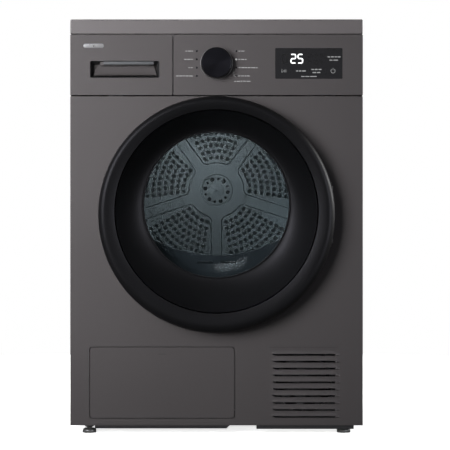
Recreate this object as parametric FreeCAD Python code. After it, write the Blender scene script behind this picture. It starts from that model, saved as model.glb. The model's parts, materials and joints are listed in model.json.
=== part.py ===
import FreeCAD, Part
import math
import os

# Front-loading heat pump clothes dryer. Millimetres, +Z up, the door faces -Y.
# The origin is on the floor, under the middle of the whole machine.

Vector = FreeCAD.Vector

# overall sizes
width = 600.0
height = 850.0
depth = 660.0
door_proud = 52.0
duct_bulge = 18.0
foot_height = 17.0
sheet = 1.0
panel_seam = 1.5
running_gap = 0.05
free_gap = 0.3

front_y = -depth / 2 + door_proud
rear_y = depth / 2 - duct_bulge
half_width = width / 2
panel_back_y = front_y + sheet
rear_inner_y = rear_y - sheet

# worktop and console
worktop_thick = 30.6
worktop_bottom = height - worktop_thick
console_height = 126.1
console_bottom = worktop_bottom - console_height
fascia_thick = 3.0
drawer_width = 209.5
drawer_right_x = -half_width + drawer_width
carrier_front_y = front_y + 9.0
carrier_thick = 3.0
carrier_back_y = carrier_front_y + carrier_thick

# drum and its mouth
drum_radius = 285.0
drum_centre_z = 510.0
drum_front_y = front_y + 101.0
drum_back_y = rear_y - 62.0
drum_lip_step = 17.0
drum_lip_radius = drum_radius - drum_lip_step
drum_lip_length = 21.0
drum_shaft_radius = 10.0
mouth_radius = 176.0
mouth_centre_z = 470.0
mouth_front_y = front_y + 20.0
mouth_back_y = front_y + 93.0
mouth_wall = 3.0
bridge_radius = 287.0
bridge_low_z = 365.0
felt_thick = 3.6
filter_y = front_y + 58.0
filter_thick = 16.0
filter_half = 80.0
filter_bottom_z = 266.0
duct_front_y = filter_y - 10.0
duct_back_y = drum_front_y - drum_lip_length - 2.0
lifter_count = 3
lifter_height = 48.0
arm_count = 5
arm_width = 27.0
arm_proud = 3.0
arm_slope = 2.2
sector_inner_radius = 66.0
sector_outer_radius = drum_radius - 15.0
sector_corner = 13.0
hole_rows = 9
hole_first_radius = 78.0
hole_row_pitch = 14.4
hole_arc_pitch = 13.3
hole_radius = 4.3
hub_hole_radius = 27.0
plate_thick = 2.0

# door
door_centre_z = 449.0
door_radius = 240.5
door_gap = 3.0
groove_centre_z = 455.3
groove_radius = 206.5
groove_width = 1.5
glass_centre_z = 469.8
glass_radius = 152.0
glass_front_y = front_y + 10.0
glass_depth = 42.0
glass_thick = 4.0
aperture_radius = 203.0
aperture_centre_z = 462.0
neck_radius = 194.0
neck_centre_z = 466.0
door_wall = 3.0
hinge_x = door_radius - 9.5
hinge_y = front_y - 25.0
hinge_pin_radius = 3.0
hinge_spread = 54.0
hinge_arm_height = 8.0
hinge_arm_width = 9.0
hinge_swing = 125
latch_x = 18.5 - door_radius

# knob and display
knob_x = 0.0
knob_z = console_bottom + 66.3
knob_radius = 31.5
knob_length = 20.5
knob_shaft_radius = 3.0
lamp_column_x = 40.5
lamp_pitch = 17.0
lamp_count = 4
display_x = 189.3
display_z = knob_z - 0.3
display_width = 138.0
display_height = 63.0

# condensate tank drawer
tank_left_x = -half_width + 16.0
tank_right_x = drawer_right_x - 21.5
tank_top_z = worktop_bottom - 13.4
tank_wall = 2.0
tank_front_y = front_y + 32.0
tank_length = 446.0
drum_to_tank = 14.4
pull_width = 142.0
pull_height = 34.7
pull_depth = 22.0
pull_x = drawer_right_x - 97.6
pull_z = console_bottom + 53.9

# service flap and vent grille
flap_width = 296.1
flap_height = 145.0
flap_x = -111.4
flap_bottom_z = foot_height + 15.3
flap_thick = 2.5
flap_corner = 7.0
flap_pivot_y = front_y + 6.0
flap_pivot_z = flap_bottom_z + 9.0
flap_pin_radius = 2.5
slot_count = 10
slot_pitch = 14.15
slot_height = 4.2
slot_width = 134.0
slot_x = 181.0
slot_bottom_z = foot_height + 15.5

# base, feet and running gear
base_floor_z = foot_height + 5.0
base_wall = 2.5
base_wall_top = 75.0
base_front_y = front_y + 18.0
base_rear_y = rear_inner_y - sheet
foot_radius = 14.0
foot_stem_radius = 5.0
foot_inset_x = 37.5
foot_front_y = front_y + 28.0
foot_rear_y = rear_y - 27.0
motor_x = 130.0
motor_z = 118.0
motor_radius = 55.0
motor_front_y = 90.0
motor_length = 100.0
motor_shaft_radius = 6.0
belt_y = 70.0
belt_width = 8.0
belt_thick = 2.0
pulley_radius = 14.0
blower_radius = 72.0
blower_casing_radius = 88.0
blower_front_y = 205.0
compressor_x = 175.0
compressor_y = -130.0
compressor_radius = 58.0
compressor_foot_z = 45.0
exchanger_left_x = -262.0
exchanger_right_x = 90.0
exchanger_front_y = front_y + 42.0
exchanger_back_y = 55.0
exchanger_bottom_z = 40.0
exchanger_top_z = 205.0
lever_z = 118.0
fin_count = 26
fin_thick = 1.0
tube_radius = 4.5
fan_x = slot_x
fan_z = slot_bottom_z + 65.5
fan_radius = 52.0
pump_x = -205.0
pump_y = 240.0
spigot_x = -250.0
spigot_z = 690.0
spigot_radius = 9.5
spigot_length = 16.0
spigot_bore = 6.0
inlet_x = 235.0
inlet_z = 735.0

along_x = Vector(1, 0, 0)
along_y = Vector(0, 1, 0)
along_z = Vector(0, 0, 1)


def box(x0, x1, y0, y1, z0, z1):
    return Part.makeBox(x1 - x0, y1 - y0, z1 - z0, Vector(x0, y0, z0))


def rod_y(radius, y0, y1, x, z):
    return Part.makeCylinder(radius, y1 - y0, Vector(x, y0, z), along_y)


def rod_z(radius, z0, z1, x, y):
    return Part.makeCylinder(radius, z1 - z0, Vector(x, y, z0), along_z)


def rod_x(radius, x0, x1, y, z):
    return Part.makeCylinder(radius, x1 - x0, Vector(x0, y, z), along_x)


def ring_y(outer, inner, y0, y1, x, z):
    return rod_y(outer, y0, y1, x, z).cut(rod_y(inner, y0 - 1, y1 + 1, x, z))


def prism_y(points, y0, y1):
    # a polygon of (x, z) points carried from y0 to y1
    corners = [Vector(x, y0, z) for x, z in points]
    outline = Part.makePolygon(corners + corners[:1])
    return Part.Face(outline).extrude(Vector(0, y1 - y0, 0))


def prism_x(points, x0, x1):
    # a polygon of (y, z) points carried from x0 to x1
    corners = [Vector(x0, y, z) for y, z in points]
    outline = Part.makePolygon(corners + corners[:1])
    return Part.Face(outline).extrude(Vector(x1 - x0, 0, 0))


def turned_y(points, x, z):
    # a polygon of (radius, y) points turned about the line along Y through (x, z)
    corners = [Vector(x + radius, y, z) for radius, y in points]
    outline = Part.makePolygon(corners + corners[:1])
    return Part.Face(outline).revolve(Vector(x, 0, z), along_y, 360)


def turned_z(points, x, y):
    # a polygon of (radius, z) points turned about the line along Z through (x, y)
    corners = [Vector(x + radius, y, z) for radius, z in points]
    outline = Part.makePolygon(corners + corners[:1])
    return Part.Face(outline).revolve(Vector(x, y, 0), along_z, 360)


def rounded_plate_y(x, z, plate_width, plate_height, y0, y1, radius):
    # an upright plate centred on (x, z) with rounded corners
    plate = box(x - plate_width / 2, x + plate_width / 2, y0, y1, z - plate_height / 2,
                z + plate_height / 2)
    corners = [edge for edge in plate.Edges if abs(edge.tangentAt(edge.FirstParameter).y) > 0.9]
    return plate.makeFillet(radius, corners)


def joined(shapes):
    # one solid from pieces that touch or overlap
    return shapes[0].multiFuse(shapes[1:]).removeSplitter()


def tangent_normal(x0, z0, r0, x1, z1, r1, side):
    # the unit normal of the straight run that touches both circles on one side
    span = math.hypot(x1 - x0, z1 - z0)
    heading = math.atan2(z1 - z0, x1 - x0)
    turn = math.acos((r0 - r1) / span)
    return math.cos(heading + side * turn), math.sin(heading + side * turn)


def two_circle_prism(x0, z0, r0, x1, z1, r1, y0, y1):
    # the outline stretched round two circles, carried from y0 to y1
    runs = []
    for side in (1, -1):
        nx, nz = tangent_normal(x0, z0, r0, x1, z1, r1, side)
        runs.append([(x0 + r0 * nx, z0 + r0 * nz), (x1 + r1 * nx, z1 + r1 * nz)])
    quad = prism_y([runs[0][0], runs[0][1], runs[1][1], runs[1][0]], y0, y1)
    return joined([quad, rod_y(r0, y0, y1, x0, z0), rod_y(r1, y0, y1, x1, z1)])


def tank_outline(grow):
    # the tank's cross-section: its sloping floor clears the drum by drum_to_tank
    reach = drum_radius + drum_to_tank - grow
    slope = math.radians(34.96)
    nx = -math.sin(slope)
    nz = math.cos(slope)
    right = tank_right_x + grow
    knee = tank_left_x + 59.0
    right_z = drum_centre_z + (reach - right * nx) / nz
    knee_z = drum_centre_z + (reach - knee * nx) / nz
    left_z = knee_z - 12.0
    left = tank_left_x - grow
    return [(left, tank_top_z), (right, tank_top_z), (right, right_z), (knee, knee_z), (left, left_z)]


# cabinet

def make_side_panel(side):
    outer = side * half_width
    inner = side * (half_width - sheet)
    lap = side * (half_width - 2 * sheet)
    inward = side * (half_width - 15.0)
    skin = box(min(outer, inner), max(outer, inner), front_y + 18.0, rear_y, foot_height, worktop_bottom)
    lap_flange = box(min(inner, lap), max(inner, lap), front_y + 8.0, front_y + 30.0, foot_height + 5,
                     console_bottom - panel_seam - 2 * sheet)
    rear_flange = box(min(inward, inner), max(inward, inner), rear_inner_y - sheet, rear_inner_y,
                      foot_height + 5,
                      worktop_bottom - 2)
    cheek = box(min(outer, inner), max(outer, inner), carrier_front_y + 0.5, front_y + 19.0,
                console_bottom + panel_seam * 0.8, worktop_bottom)
    return joined([skin, cheek, lap_flange, rear_flange])


def make_rear_panel():
    edge = half_width - sheet
    plate = box(-edge, edge, rear_inner_y, rear_y, foot_height, worktop_bottom)
    cuts = [rod_y(blower_radius - 12.0, rear_inner_y - 1, rear_y + 1, motor_x, motor_z)]
    for index in range(6):
        angle = math.radians(60 * index + 30)
        cuts.append(rod_y(25.0, rear_inner_y - 1, rear_y + 1, 110 * math.cos(angle),
                          drum_centre_z + 110 * math.sin(angle)))
    cuts.append(rod_y(spigot_bore, rear_inner_y - 1, rear_y + 1, spigot_x, spigot_z))
    return plate.cut(Part.makeCompound(cuts))


def make_rear_duct_cover():
    back = rear_y + duct_bulge
    outer = two_circle_prism(0, drum_centre_z, 170.0, motor_x, motor_z, 90.0, rear_y, back)
    inner = two_circle_prism(0, drum_centre_z, 169.0, motor_x, motor_z, 89.0, rear_y - 1, back - sheet)
    rim = two_circle_prism(0, drum_centre_z, 182.0, motor_x, motor_z, 97.0, rear_y, rear_y + sheet)
    return joined([outer, rim]).cut(inner)


def make_worktop_frame():
    outer = box(-half_width, half_width, front_y, rear_y, worktop_bottom + panel_seam, height)
    edges = [edge for edge in outer.Edges if edge.BoundBox.ZMin > height - 0.1 or edge.BoundBox.ZLength > 5]
    outer = outer.makeFillet(3.0, edges)
    recess = box(-half_width + 14, half_width - 14, front_y + 16, rear_y - 14, height - 3, height + 1)
    hollow = box(-half_width + 3, half_width - 3, front_y + 3, rear_y - 3, worktop_bottom, height - 6)
    foot = box(-half_width + 4, half_width - 4, front_y + 4, rear_y - 4, worktop_bottom, worktop_bottom + 8)
    foot = foot.cut(box(-half_width + 7, half_width - 7, front_y + 7, rear_y - 7, worktop_bottom - 1,
                        worktop_bottom + 9))
    rib = box(-half_width + 3, half_width - 3, front_y + 3, front_y + 7, worktop_bottom + 6, height - 6)
    side_rib = box(-half_width + 3, -half_width + 7, front_y + 3, rear_y - 3, worktop_bottom + 6,
                   height - 6)
    other_rib = box(half_width - 7, half_width - 3, front_y + 3, rear_y - 3, worktop_bottom + 6, height - 6)
    rear_rib = box(-half_width + 3, half_width - 3, rear_y - 7, rear_y - 3, worktop_bottom + 6, height - 6)
    shell = outer.cut(recess).cut(hollow)
    return joined([shell, foot, rib, side_rib, other_rib, rear_rib])


def make_worktop_board():
    return box(-half_width + 14.3, half_width - 14.3, front_y + 16.3, rear_y - 14.3, height - 3, height)


def make_front_crossbar():
    top = box(-half_width + sheet, half_width - sheet, carrier_back_y, carrier_back_y + 44,
              worktop_bottom - sheet,
              worktop_bottom)
    front_lip = box(-half_width + sheet, half_width - sheet, carrier_back_y, carrier_back_y + sheet,
                    worktop_bottom - 6, worktop_bottom)
    rear_lip = box(-half_width + sheet, half_width - sheet, carrier_back_y + 43, carrier_back_y + 44,
                   worktop_bottom - 6, worktop_bottom)
    return joined([top, front_lip, rear_lip])


def make_front_panel():
    top = console_bottom - panel_seam
    face = box(-half_width, half_width, front_y, panel_back_y, foot_height, top)
    cuts = [rod_y(aperture_radius, front_y - 1, panel_back_y + 1, 0, aperture_centre_z)]
    flap_hole = rounded_plate_y(flap_x, flap_bottom_z + flap_height / 2, flap_width + 2.5,
                                flap_height + 2.5,
                                front_y - 1, panel_back_y + 1, flap_corner)
    cuts.append(flap_hole)
    for index in range(slot_count):
        low = slot_bottom_z + index * slot_pitch
        cuts.append(rounded_plate_y(slot_x, low + slot_height / 2, slot_width, slot_height, front_y - 1,
                                    panel_back_y + 1, slot_height * 0.45))
    for side in (-1, 1):
        middle = door_centre_z + side * hinge_spread
        cuts.append(box(hinge_x - hinge_arm_width / 2 - 0.5, hinge_x + hinge_arm_width / 2 + 0.5,
                        front_y - 1,
                        panel_back_y + 1, middle - hinge_arm_height / 2 - 0.5,
                        middle + hinge_arm_height / 2 + 0.5))
    cuts.append(box(latch_x - 6, latch_x + 6, front_y - 1, panel_back_y + 1, door_centre_z - 12,
                    door_centre_z + 12))
    face = face.cut(Part.makeCompound(cuts))
    left_return = box(-half_width, -half_width + sheet, front_y, front_y + 17.5, foot_height, top)
    right_return = box(half_width - sheet, half_width, front_y, front_y + 17.5, foot_height, top)
    top_return = box(-half_width, half_width, front_y, front_y + 24, top - sheet, top)
    rim = ring_y(aperture_radius + sheet, aperture_radius, front_y, front_y + 12, 0, aperture_centre_z)
    top_return = top_return.cut(prism_y(tank_outline(0.8), panel_back_y, front_y + 25))
    panel = joined([face, left_return, right_return, top_return, rim])
    outer_edges = []
    for edge in panel.Edges:
        bounds = edge.BoundBox
        upright = bounds.ZLength > 500 and bounds.YMax < front_y + 0.1
        if upright and abs(abs(bounds.XMin) - half_width) < 0.1:
            outer_edges.append(edge)
    return panel.makeFillet(sheet * 0.9, outer_edges)


def make_vent_louvres():
    blades = []
    half = slot_width / 2 + 6
    low_end = slot_bottom_z - 9
    high_end = slot_bottom_z + slot_count * slot_pitch
    for side in (-1, 1):
        edge = slot_x + side * half
        blades.append(box(edge - 2, edge + 2, panel_back_y, panel_back_y + 8, low_end, high_end))
    for index in range(slot_count):
        low = slot_bottom_z + index * slot_pitch - 1.0
        blades.append(prism_x([(panel_back_y, low), (panel_back_y + 8, low - 7),
                               (panel_back_y + 8, low - 5),
                               (panel_back_y, low + 1)], slot_x - half, slot_x + half))
    return joined(blades)


# service flap

def flap_ears():
    return [flap_x - flap_width / 2 + 16, flap_x + flap_width / 2 - 16]


def make_service_flap():
    plate = rounded_plate_y(flap_x, flap_bottom_z + flap_height / 2, flap_width, flap_height, front_y,
                            front_y + flap_thick, flap_corner)
    pieces = [plate]
    for ear_x in flap_ears():
        ear = box(ear_x - 3, ear_x + 3, front_y + flap_thick - 0.5, flap_pivot_y + 3, flap_pivot_z - 3,
                  flap_pivot_z + 8)
        pieces.append(ear)
        pieces.append(rod_x(flap_pin_radius, ear_x - 8, ear_x + 8, flap_pivot_y, flap_pivot_z))
    catch_z = flap_bottom_z + flap_height - 12
    pieces.append(box(flap_x - 12, flap_x + 12, front_y + flap_thick - 0.5, front_y + flap_thick + 5,
                      catch_z - 3, catch_z))
    return joined(pieces)


def flap_hinges():
    hinges = []
    for ear_x in flap_ears():
        for side in (-1, 1):
            middle = ear_x + side * 6.5
            nose = flap_pivot_y - front_y - flap_thick - 0.2
            block = box(middle - 2, middle + 2, flap_pivot_y, base_front_y + 1, flap_pivot_z - nose,
                        flap_pivot_z + nose)
            block = block.fuse(rod_x(nose, middle - 2, middle + 2, flap_pivot_y, flap_pivot_z))
            hinges.append(block.cut(rod_x(flap_pin_radius + running_gap, middle - 3, middle + 3,
                                          flap_pivot_y,
                                          flap_pivot_z)))
    return hinges


# base and feet

def foot_places():
    x = half_width - foot_inset_x
    return {
        "foot_front_left": (-x, foot_front_y),
        "foot_front_right": (x, foot_front_y),
        "foot_rear_left": (-x, foot_rear_y),
        "foot_rear_right": (x, foot_rear_y),
    }


def make_base_pan():
    edge = half_width - 2 * sheet
    inner = edge - base_wall
    tray = box(-edge, edge, base_front_y, base_rear_y, foot_height, base_wall_top)
    hollow = box(-inner, inner, base_front_y + base_wall, base_rear_y - base_wall, base_floor_z,
                 base_wall_top + 1)
    tray = tray.cut(hollow)
    bay = box(flap_x - flap_width / 2 - 2, flap_x + flap_width / 2 + 2, base_front_y - 1,
              base_front_y + base_wall + 1,
              flap_pivot_z + 4, base_wall_top + 1)
    tray = tray.cut(bay)
    tray = tray.cut(rod_y(fan_radius + 5, base_front_y - 1, base_front_y + base_wall + 1, fan_x, fan_z))
    tray = tray.cut(rod_y(blower_casing_radius, base_rear_y - base_wall - 1, base_rear_y + 1, motor_x,
                          motor_z))
    for x, y in foot_places().values():
        boss_top = base_floor_z + 24
        tray = tray.fuse(rod_z(11.0, foot_height, boss_top, x, y))
        tray = tray.cut(rod_z(foot_stem_radius + running_gap, foot_height - 1, boss_top - 3, x, y))
    keep = box(-edge, edge, base_front_y, base_rear_y, foot_height, base_wall_top)
    posts = []
    for side_x in (-1, 1):
        for side_y in (-1, 1):
            x = compressor_x + side_x * 54
            y = compressor_y + side_y * 52
            posts.append(box(x - 8, x + 8, y - 8, y + 8, base_floor_z - 2, compressor_foot_z))
    pan = tray.common(keep)
    for piece in posts + [fan_shroud()] + plinth_strips() + flap_hinges():
        pan = joined([pan, piece])
    return pan


def make_foot(x, y):
    profile = [(0, 0), (foot_radius, 0), (foot_radius, 6), (foot_radius - 4, 9), (foot_stem_radius, 9),
               (foot_stem_radius, base_floor_z + 18), (0, base_floor_z + 18)]
    foot = turned_z(profile, x, y)
    corners = []
    for index in range(6):
        angle = math.radians(60 * index)
        corners.append(Vector(x + 9 * math.cos(angle), y + 9 * math.sin(angle), foot_height - 5.5))
    nut = Part.Face(Part.makePolygon(corners + corners[:1])).extrude(Vector(0, 0, 5))
    return joined([foot, nut])


def plinth_strips():
    # dark strips under the front panel, open between them
    low = foot_height - 6.8
    high = foot_height + 2
    back = base_front_y + 1
    left = prism_y([(-250, low), (20.6, low), (29.4, high), (-250, high)], front_y + 5, back)
    right = box(81.9, 281.8, front_y + 5, back, low - 1, high)
    return [left, right]


# console

def make_drawer_front():
    x0 = -half_width
    x1 = drawer_right_x
    z0 = console_bottom + panel_seam * 0.8
    z1 = worktop_bottom - panel_seam
    face = box(x0, x1, front_y, front_y + fascia_thick, z0, z1)
    hole = rounded_plate_y(pull_x, pull_z, pull_width, pull_height, front_y - 1,
                           front_y + fascia_thick + 1, 3.0)
    cup = rounded_plate_y(pull_x, pull_z, pull_width + 4, pull_height + 4, front_y + fascia_thick - 0.5,
                          front_y + pull_depth + 2, 4.0)
    cup_hollow = rounded_plate_y(pull_x, pull_z, pull_width, pull_height, front_y - 1,
                                 front_y + pull_depth, 3.0)
    grip = box(pull_x - pull_width / 2 + 20, pull_x + pull_width / 2 - 20, front_y + 6, front_y + 12,
               pull_z + pull_height / 2 - 8, pull_z + pull_height / 2 + 1)
    sleeve = prism_y(tank_outline(0), front_y + fascia_thick - 0.5, tank_front_y)
    sleeve = sleeve.cut(prism_y(tank_outline(-tank_wall), front_y, tank_front_y + 1))
    front = joined([face.cut(hole), cup.cut(cup_hollow), grip])
    return joined([front, sleeve.cut(cup)])


def make_tank_body():
    back = tank_front_y + tank_length
    inner = tank_outline(-tank_wall)
    inner[0] = (inner[0][0], tank_top_z + 1)
    inner[1] = (inner[1][0], tank_top_z + 1)
    body = prism_y(tank_outline(0), tank_front_y, back)
    return body.cut(prism_y(inner, tank_front_y + tank_wall, back - tank_wall))


def make_tank_lid():
    back = tank_front_y + tank_length
    lid = box(tank_left_x, tank_right_x, tank_front_y, back, tank_top_z, tank_top_z + 3)
    spout = box(tank_left_x + 20, tank_left_x + 60, back - 60, back - 20, tank_top_z - 1, tank_top_z + 4)
    return lid.cut(spout)


def make_tank_cradle():
    # a thin tray under the tank, hung from the left side panel and the front crossbar
    upper = tank_outline(3.0)
    lower = tank_outline(3.0 + 2.0)
    left_x = -half_width + sheet
    hang = worktop_bottom - 6
    outline = [(left_x, upper[4][1]), upper[4], upper[3], upper[2], (upper[2][0], hang),
               (lower[2][0], hang),
               lower[2], lower[3], (lower[4][0], lower[4][1]), (left_x, lower[4][1])]
    return prism_y(outline, carrier_back_y + 20, tank_front_y + tank_length + 10)


def make_console_fascia():
    x0 = drawer_right_x + panel_seam * 1.3
    x1 = half_width
    z0 = console_bottom + panel_seam * 0.8
    z1 = worktop_bottom - panel_seam
    face = box(x0, x1, front_y, front_y + fascia_thick, z0, z1)
    frame = box(x0, x1, front_y, carrier_front_y, z0, z1)
    frame = frame.cut(box(x0 + 2, x1 - 2, front_y - 1, carrier_front_y + 1, z0 + 2, z1 - 2))
    cuts = [rod_y(knob_shaft_radius + 3, front_y - 1, front_y + fascia_thick + 1, knob_x, knob_z)]
    cuts.append(rounded_plate_y(display_x, display_z, display_width, display_height, front_y - 1,
                                front_y + 2, 2.0))
    cuts.append(rounded_plate_y(display_x, display_z, display_width - 6, display_height - 6, front_y,
                                front_y + fascia_thick + 1, 2.0))
    for x, z in lamp_places():
        cuts.append(rod_y(2.0, front_y - 1, front_y + fascia_thick + 1, x, z))
    knob_ring = ring_y(knob_radius + 1.9, knob_radius + 0.5, front_y - 1.0, front_y + 1, knob_x, knob_z)
    return joined([face, frame, knob_ring]).cut(Part.makeCompound(cuts))


def lamp_places():
    places = []
    for side in (-1, 1):
        for index in range(lamp_count):
            places.append((knob_x + side * lamp_column_x, knob_z + 25.0 - index * lamp_pitch))
    return places


def make_console_carrier():
    x0 = -half_width + 4
    x1 = half_width - 4
    plate = box(x0, x1, carrier_front_y, carrier_back_y, console_bottom + 4, worktop_bottom - 2)
    cuts = [prism_y(tank_outline(1.8), carrier_front_y - 1, carrier_back_y + 1)]
    cuts.append(box(tank_left_x - 1.8, tank_right_x + 1.8, carrier_front_y - 1, carrier_back_y + 1,
                    tank_top_z - 1,
                    tank_top_z + 5))
    cuts.append(box(pull_x - pull_width / 2 - 4, pull_x + pull_width / 2 + 4, carrier_front_y - 1,
                    carrier_back_y + 1,
                    pull_z - pull_height / 2 - 4, pull_z + pull_height / 2 + 4))
    cuts.append(rod_y(knob_shaft_radius + 2, carrier_front_y - 1, carrier_back_y + 1, knob_x, knob_z))
    cuts.append(box(display_x - 60, display_x + 60, carrier_front_y - 1, carrier_back_y + 1, display_z - 24,
                    display_z + 24))
    plate = plate.cut(Part.makeCompound(cuts))
    shelf = box(drawer_right_x + 20, x1, carrier_back_y - 1, carrier_back_y + 14, console_bottom + 4,
                console_bottom + 6)
    return joined([plate, shelf])


def make_display_window():
    return rounded_plate_y(display_x, display_z, display_width, display_height, front_y, front_y + 2, 2.0)


def make_control_board():
    board = box(display_x - 105, display_x + 90, carrier_back_y + 4, carrier_back_y + 5.6,
                console_bottom + 12,
                worktop_bottom - 9)
    module = box(display_x - 64, display_x + 64, carrier_back_y, carrier_back_y + 4.5, display_z - 27,
                 display_z + 27)
    chip = box(display_x - 95, display_x - 75, carrier_back_y + 5.6, carrier_back_y + 8, display_z - 10,
               display_z + 10)
    strip = box(knob_x - 8, display_x - 60, carrier_back_y + 4, carrier_back_y + 5.6, knob_z - 12,
                knob_z + 12)
    encoder = box(knob_x - 8, knob_x + 8, carrier_back_y, carrier_back_y + 10, knob_z - 8, knob_z + 8)
    whole = joined([board, module, chip, strip, encoder])
    return whole.cut(rod_y(knob_shaft_radius + running_gap, carrier_back_y - 1, carrier_back_y + 8,
                           knob_x, knob_z))


def make_program_knob():
    tip = front_y - knob_length
    back = front_y - free_gap
    profile = [(0, tip + 1.2), (knob_radius - 6, tip + 0.6), (knob_radius - 2, tip),
               (knob_radius - 0.6, tip + 1.2),
               (knob_radius, tip + 4), (knob_radius, back), (knob_radius - 2.5, back),
               (knob_radius - 2.5, tip + 4.5),
               (8, tip + 4.5), (8, back), (0, back)]
    knob = turned_y(profile, knob_x, knob_z)
    stem = rod_y(knob_shaft_radius, back - 1, carrier_back_y + 7, knob_x, knob_z)
    return joined([knob, stem])


# front bulkhead and mouth

def mouth_solid(grow, y0, y1):
    return rod_y(mouth_radius + grow, y0, y1, 0, mouth_centre_z)


def make_front_bulkhead():
    collar_radius = drum_lip_radius - free_gap - felt_thick
    plate_y = front_y + 26
    plate = rod_y(drum_radius + 6, plate_y, plate_y + 4, 0, drum_centre_z)
    wing_x = half_width - 2 * sheet
    wings = box(-wing_x, wing_x, plate_y, plate_y + 4, exchanger_top_z + 5, drum_centre_z - 10)
    plate = plate.fuse(wings).cut(rod_y(collar_radius - 2, plate_y - 1, plate_y + 5, 0, drum_centre_z))
    collar = ring_y(collar_radius, collar_radius - 4, plate_y, mouth_back_y + 5, 0, drum_centre_z)
    wall = rod_y(collar_radius - 2, mouth_back_y - 3, mouth_back_y, 0, drum_centre_z)
    wall = wall.cut(mouth_solid(1, mouth_back_y - 4, mouth_back_y + 1))
    tube = mouth_solid(mouth_wall, mouth_front_y, mouth_back_y).cut(mouth_solid(0, mouth_front_y - 1,
                                                                                mouth_back_y + 1))
    flange = mouth_solid(24, mouth_front_y, mouth_front_y + 3).cut(mouth_solid(1, mouth_front_y - 1,
                                                                               mouth_front_y + 4))
    body = joined([plate, collar, wall, tube, flange])
    slot = box(-filter_half - 1, filter_half + 1, filter_y - 1, filter_y + filter_thick + 1,
               filter_bottom_z,
               bridge_low_z)
    duct = box(-filter_half, filter_half, duct_front_y + 3, duct_back_y - 3, exchanger_top_z,
               filter_bottom_z + 4)
    return body.cut(slot).cut(duct)


def bridge_region(y0, y1):
    # the crescent of the mouth below a wide arc that is lowest in the middle
    region = mouth_solid(0, y0, y1)
    return region.cut(rod_y(bridge_radius, y0 - 1, y1 + 1, 0, bridge_low_z + bridge_radius))


def make_filter_housing():
    body = bridge_region(filter_y - 3.5, mouth_back_y - 1)
    slot = box(-filter_half - 1, filter_half + 1, filter_y - 1, filter_y + filter_thick + 1,
               filter_bottom_z - 10,
               bridge_low_z + 60)
    return body.cut(slot)


def make_lint_filter():
    top = bridge_region(filter_y, filter_y + filter_thick)
    top = top.common(box(-filter_half, filter_half, filter_y, filter_y + filter_thick, bridge_low_z - 60,
                         bridge_low_z + 40))
    body = box(-filter_half, filter_half, filter_y, filter_y + filter_thick, filter_bottom_z,
               bridge_low_z - 25)
    whole = joined([body, top])
    pocket = box(-filter_half + 5, filter_half - 5, filter_y + 3, filter_y + filter_thick - 3,
                 filter_bottom_z + 4,
                 bridge_low_z - 22)
    finger = rounded_plate_y(0, bridge_low_z - 5, 30, 14, filter_y - 1, filter_y + 9, 5.0)
    windows = []
    for index in range(4):
        x = -filter_half + 7 + index * 38.7
        windows.append(box(x, x + 30, filter_y - 1, filter_y + filter_thick + 1, filter_bottom_z + 8,
                           bridge_low_z - 30))
    return whole.cut(pocket).cut(finger).cut(Part.makeCompound(windows))


def filter_duct():
    # carries the damp air from under the filter down to the heat exchangers
    low = exchanger_top_z
    high = drum_centre_z - (drum_lip_radius - free_gap - felt_thick) + 14
    outer = box(-filter_half - 4, filter_half - 1, duct_front_y, duct_back_y, low, high)
    inner = box(-filter_half, filter_half - 5, duct_front_y + 3, duct_back_y - 3, low - 1, high + 1)
    shell = outer.cut(inner)
    collar_radius = drum_lip_radius - free_gap - felt_thick
    return shell.cut(rod_y(collar_radius, duct_front_y - 1, duct_back_y + 1, 0, drum_centre_z))


def make_drum_front_felt():
    outer = drum_lip_radius - free_gap
    start = drum_front_y - drum_lip_length + 2
    return ring_y(outer, outer - felt_thick, start, start + 18, 0, drum_centre_z)


# drum

def make_drum_shell():
    profile = [(drum_radius, drum_front_y), (drum_radius, drum_back_y + 6),
               (drum_radius - sheet, drum_back_y + 6),
               (drum_radius - sheet, drum_front_y + sheet), (drum_lip_radius, drum_front_y + sheet),
               (drum_lip_radius, drum_front_y - drum_lip_length),
               (drum_lip_radius + sheet, drum_front_y - drum_lip_length),
               (drum_lip_radius + sheet, drum_front_y)]
    return turned_y(profile, 0, drum_centre_z)


def drum_hole_places():
    # five fans of holes between the arms of the star, in staggered rows
    places = []
    for sector in range(arm_count):
        middle = math.radians(90 + 360 / arm_count * sector)
        for row in range(hole_rows):
            radius = hole_first_radius + row * hole_row_pitch
            count = 5 + row
            step = hole_arc_pitch / radius
            for index in range(count):
                angle = middle + (index - (count - 1) / 2) * step
                places.append((radius * math.cos(angle), drum_centre_z + radius * math.sin(angle)))
    return places


def make_drum_back():
    wires = [Part.Wire(Part.makeCircle(drum_radius - sheet, Vector(0, drum_back_y, drum_centre_z),
                                       along_y))]
    for x, z in drum_hole_places():
        wires.append(Part.Wire(Part.makeCircle(hole_radius, Vector(x, drum_back_y, z), along_y)))
    for index in range(12):
        x, z, radius = hub_hole(index)
        wires.append(Part.Wire(Part.makeCircle(radius, Vector(x, drum_back_y, z), along_y)))
    face = Part.Face(wires[0])
    face = face.cut(Part.makeCompound([Part.Face(wire) for wire in wires[1:]]))
    plate = face.Faces[0].extrude(Vector(0, plate_thick, 0))
    star_front = drum_back_y - arm_proud
    ridge = [(39, star_front + 0.5), (37, star_front - 1.2), (35, star_front - 1.2), (33, star_front + 0.5)]
    cap = [(0, drum_back_y), (18, drum_back_y), (17, star_front - 1), (0, star_front - 2)]
    pieces = [plate, drum_star(), turned_y(ridge, 0, drum_centre_z), turned_y(cap, 0, drum_centre_z)]
    return joined(pieces)


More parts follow.
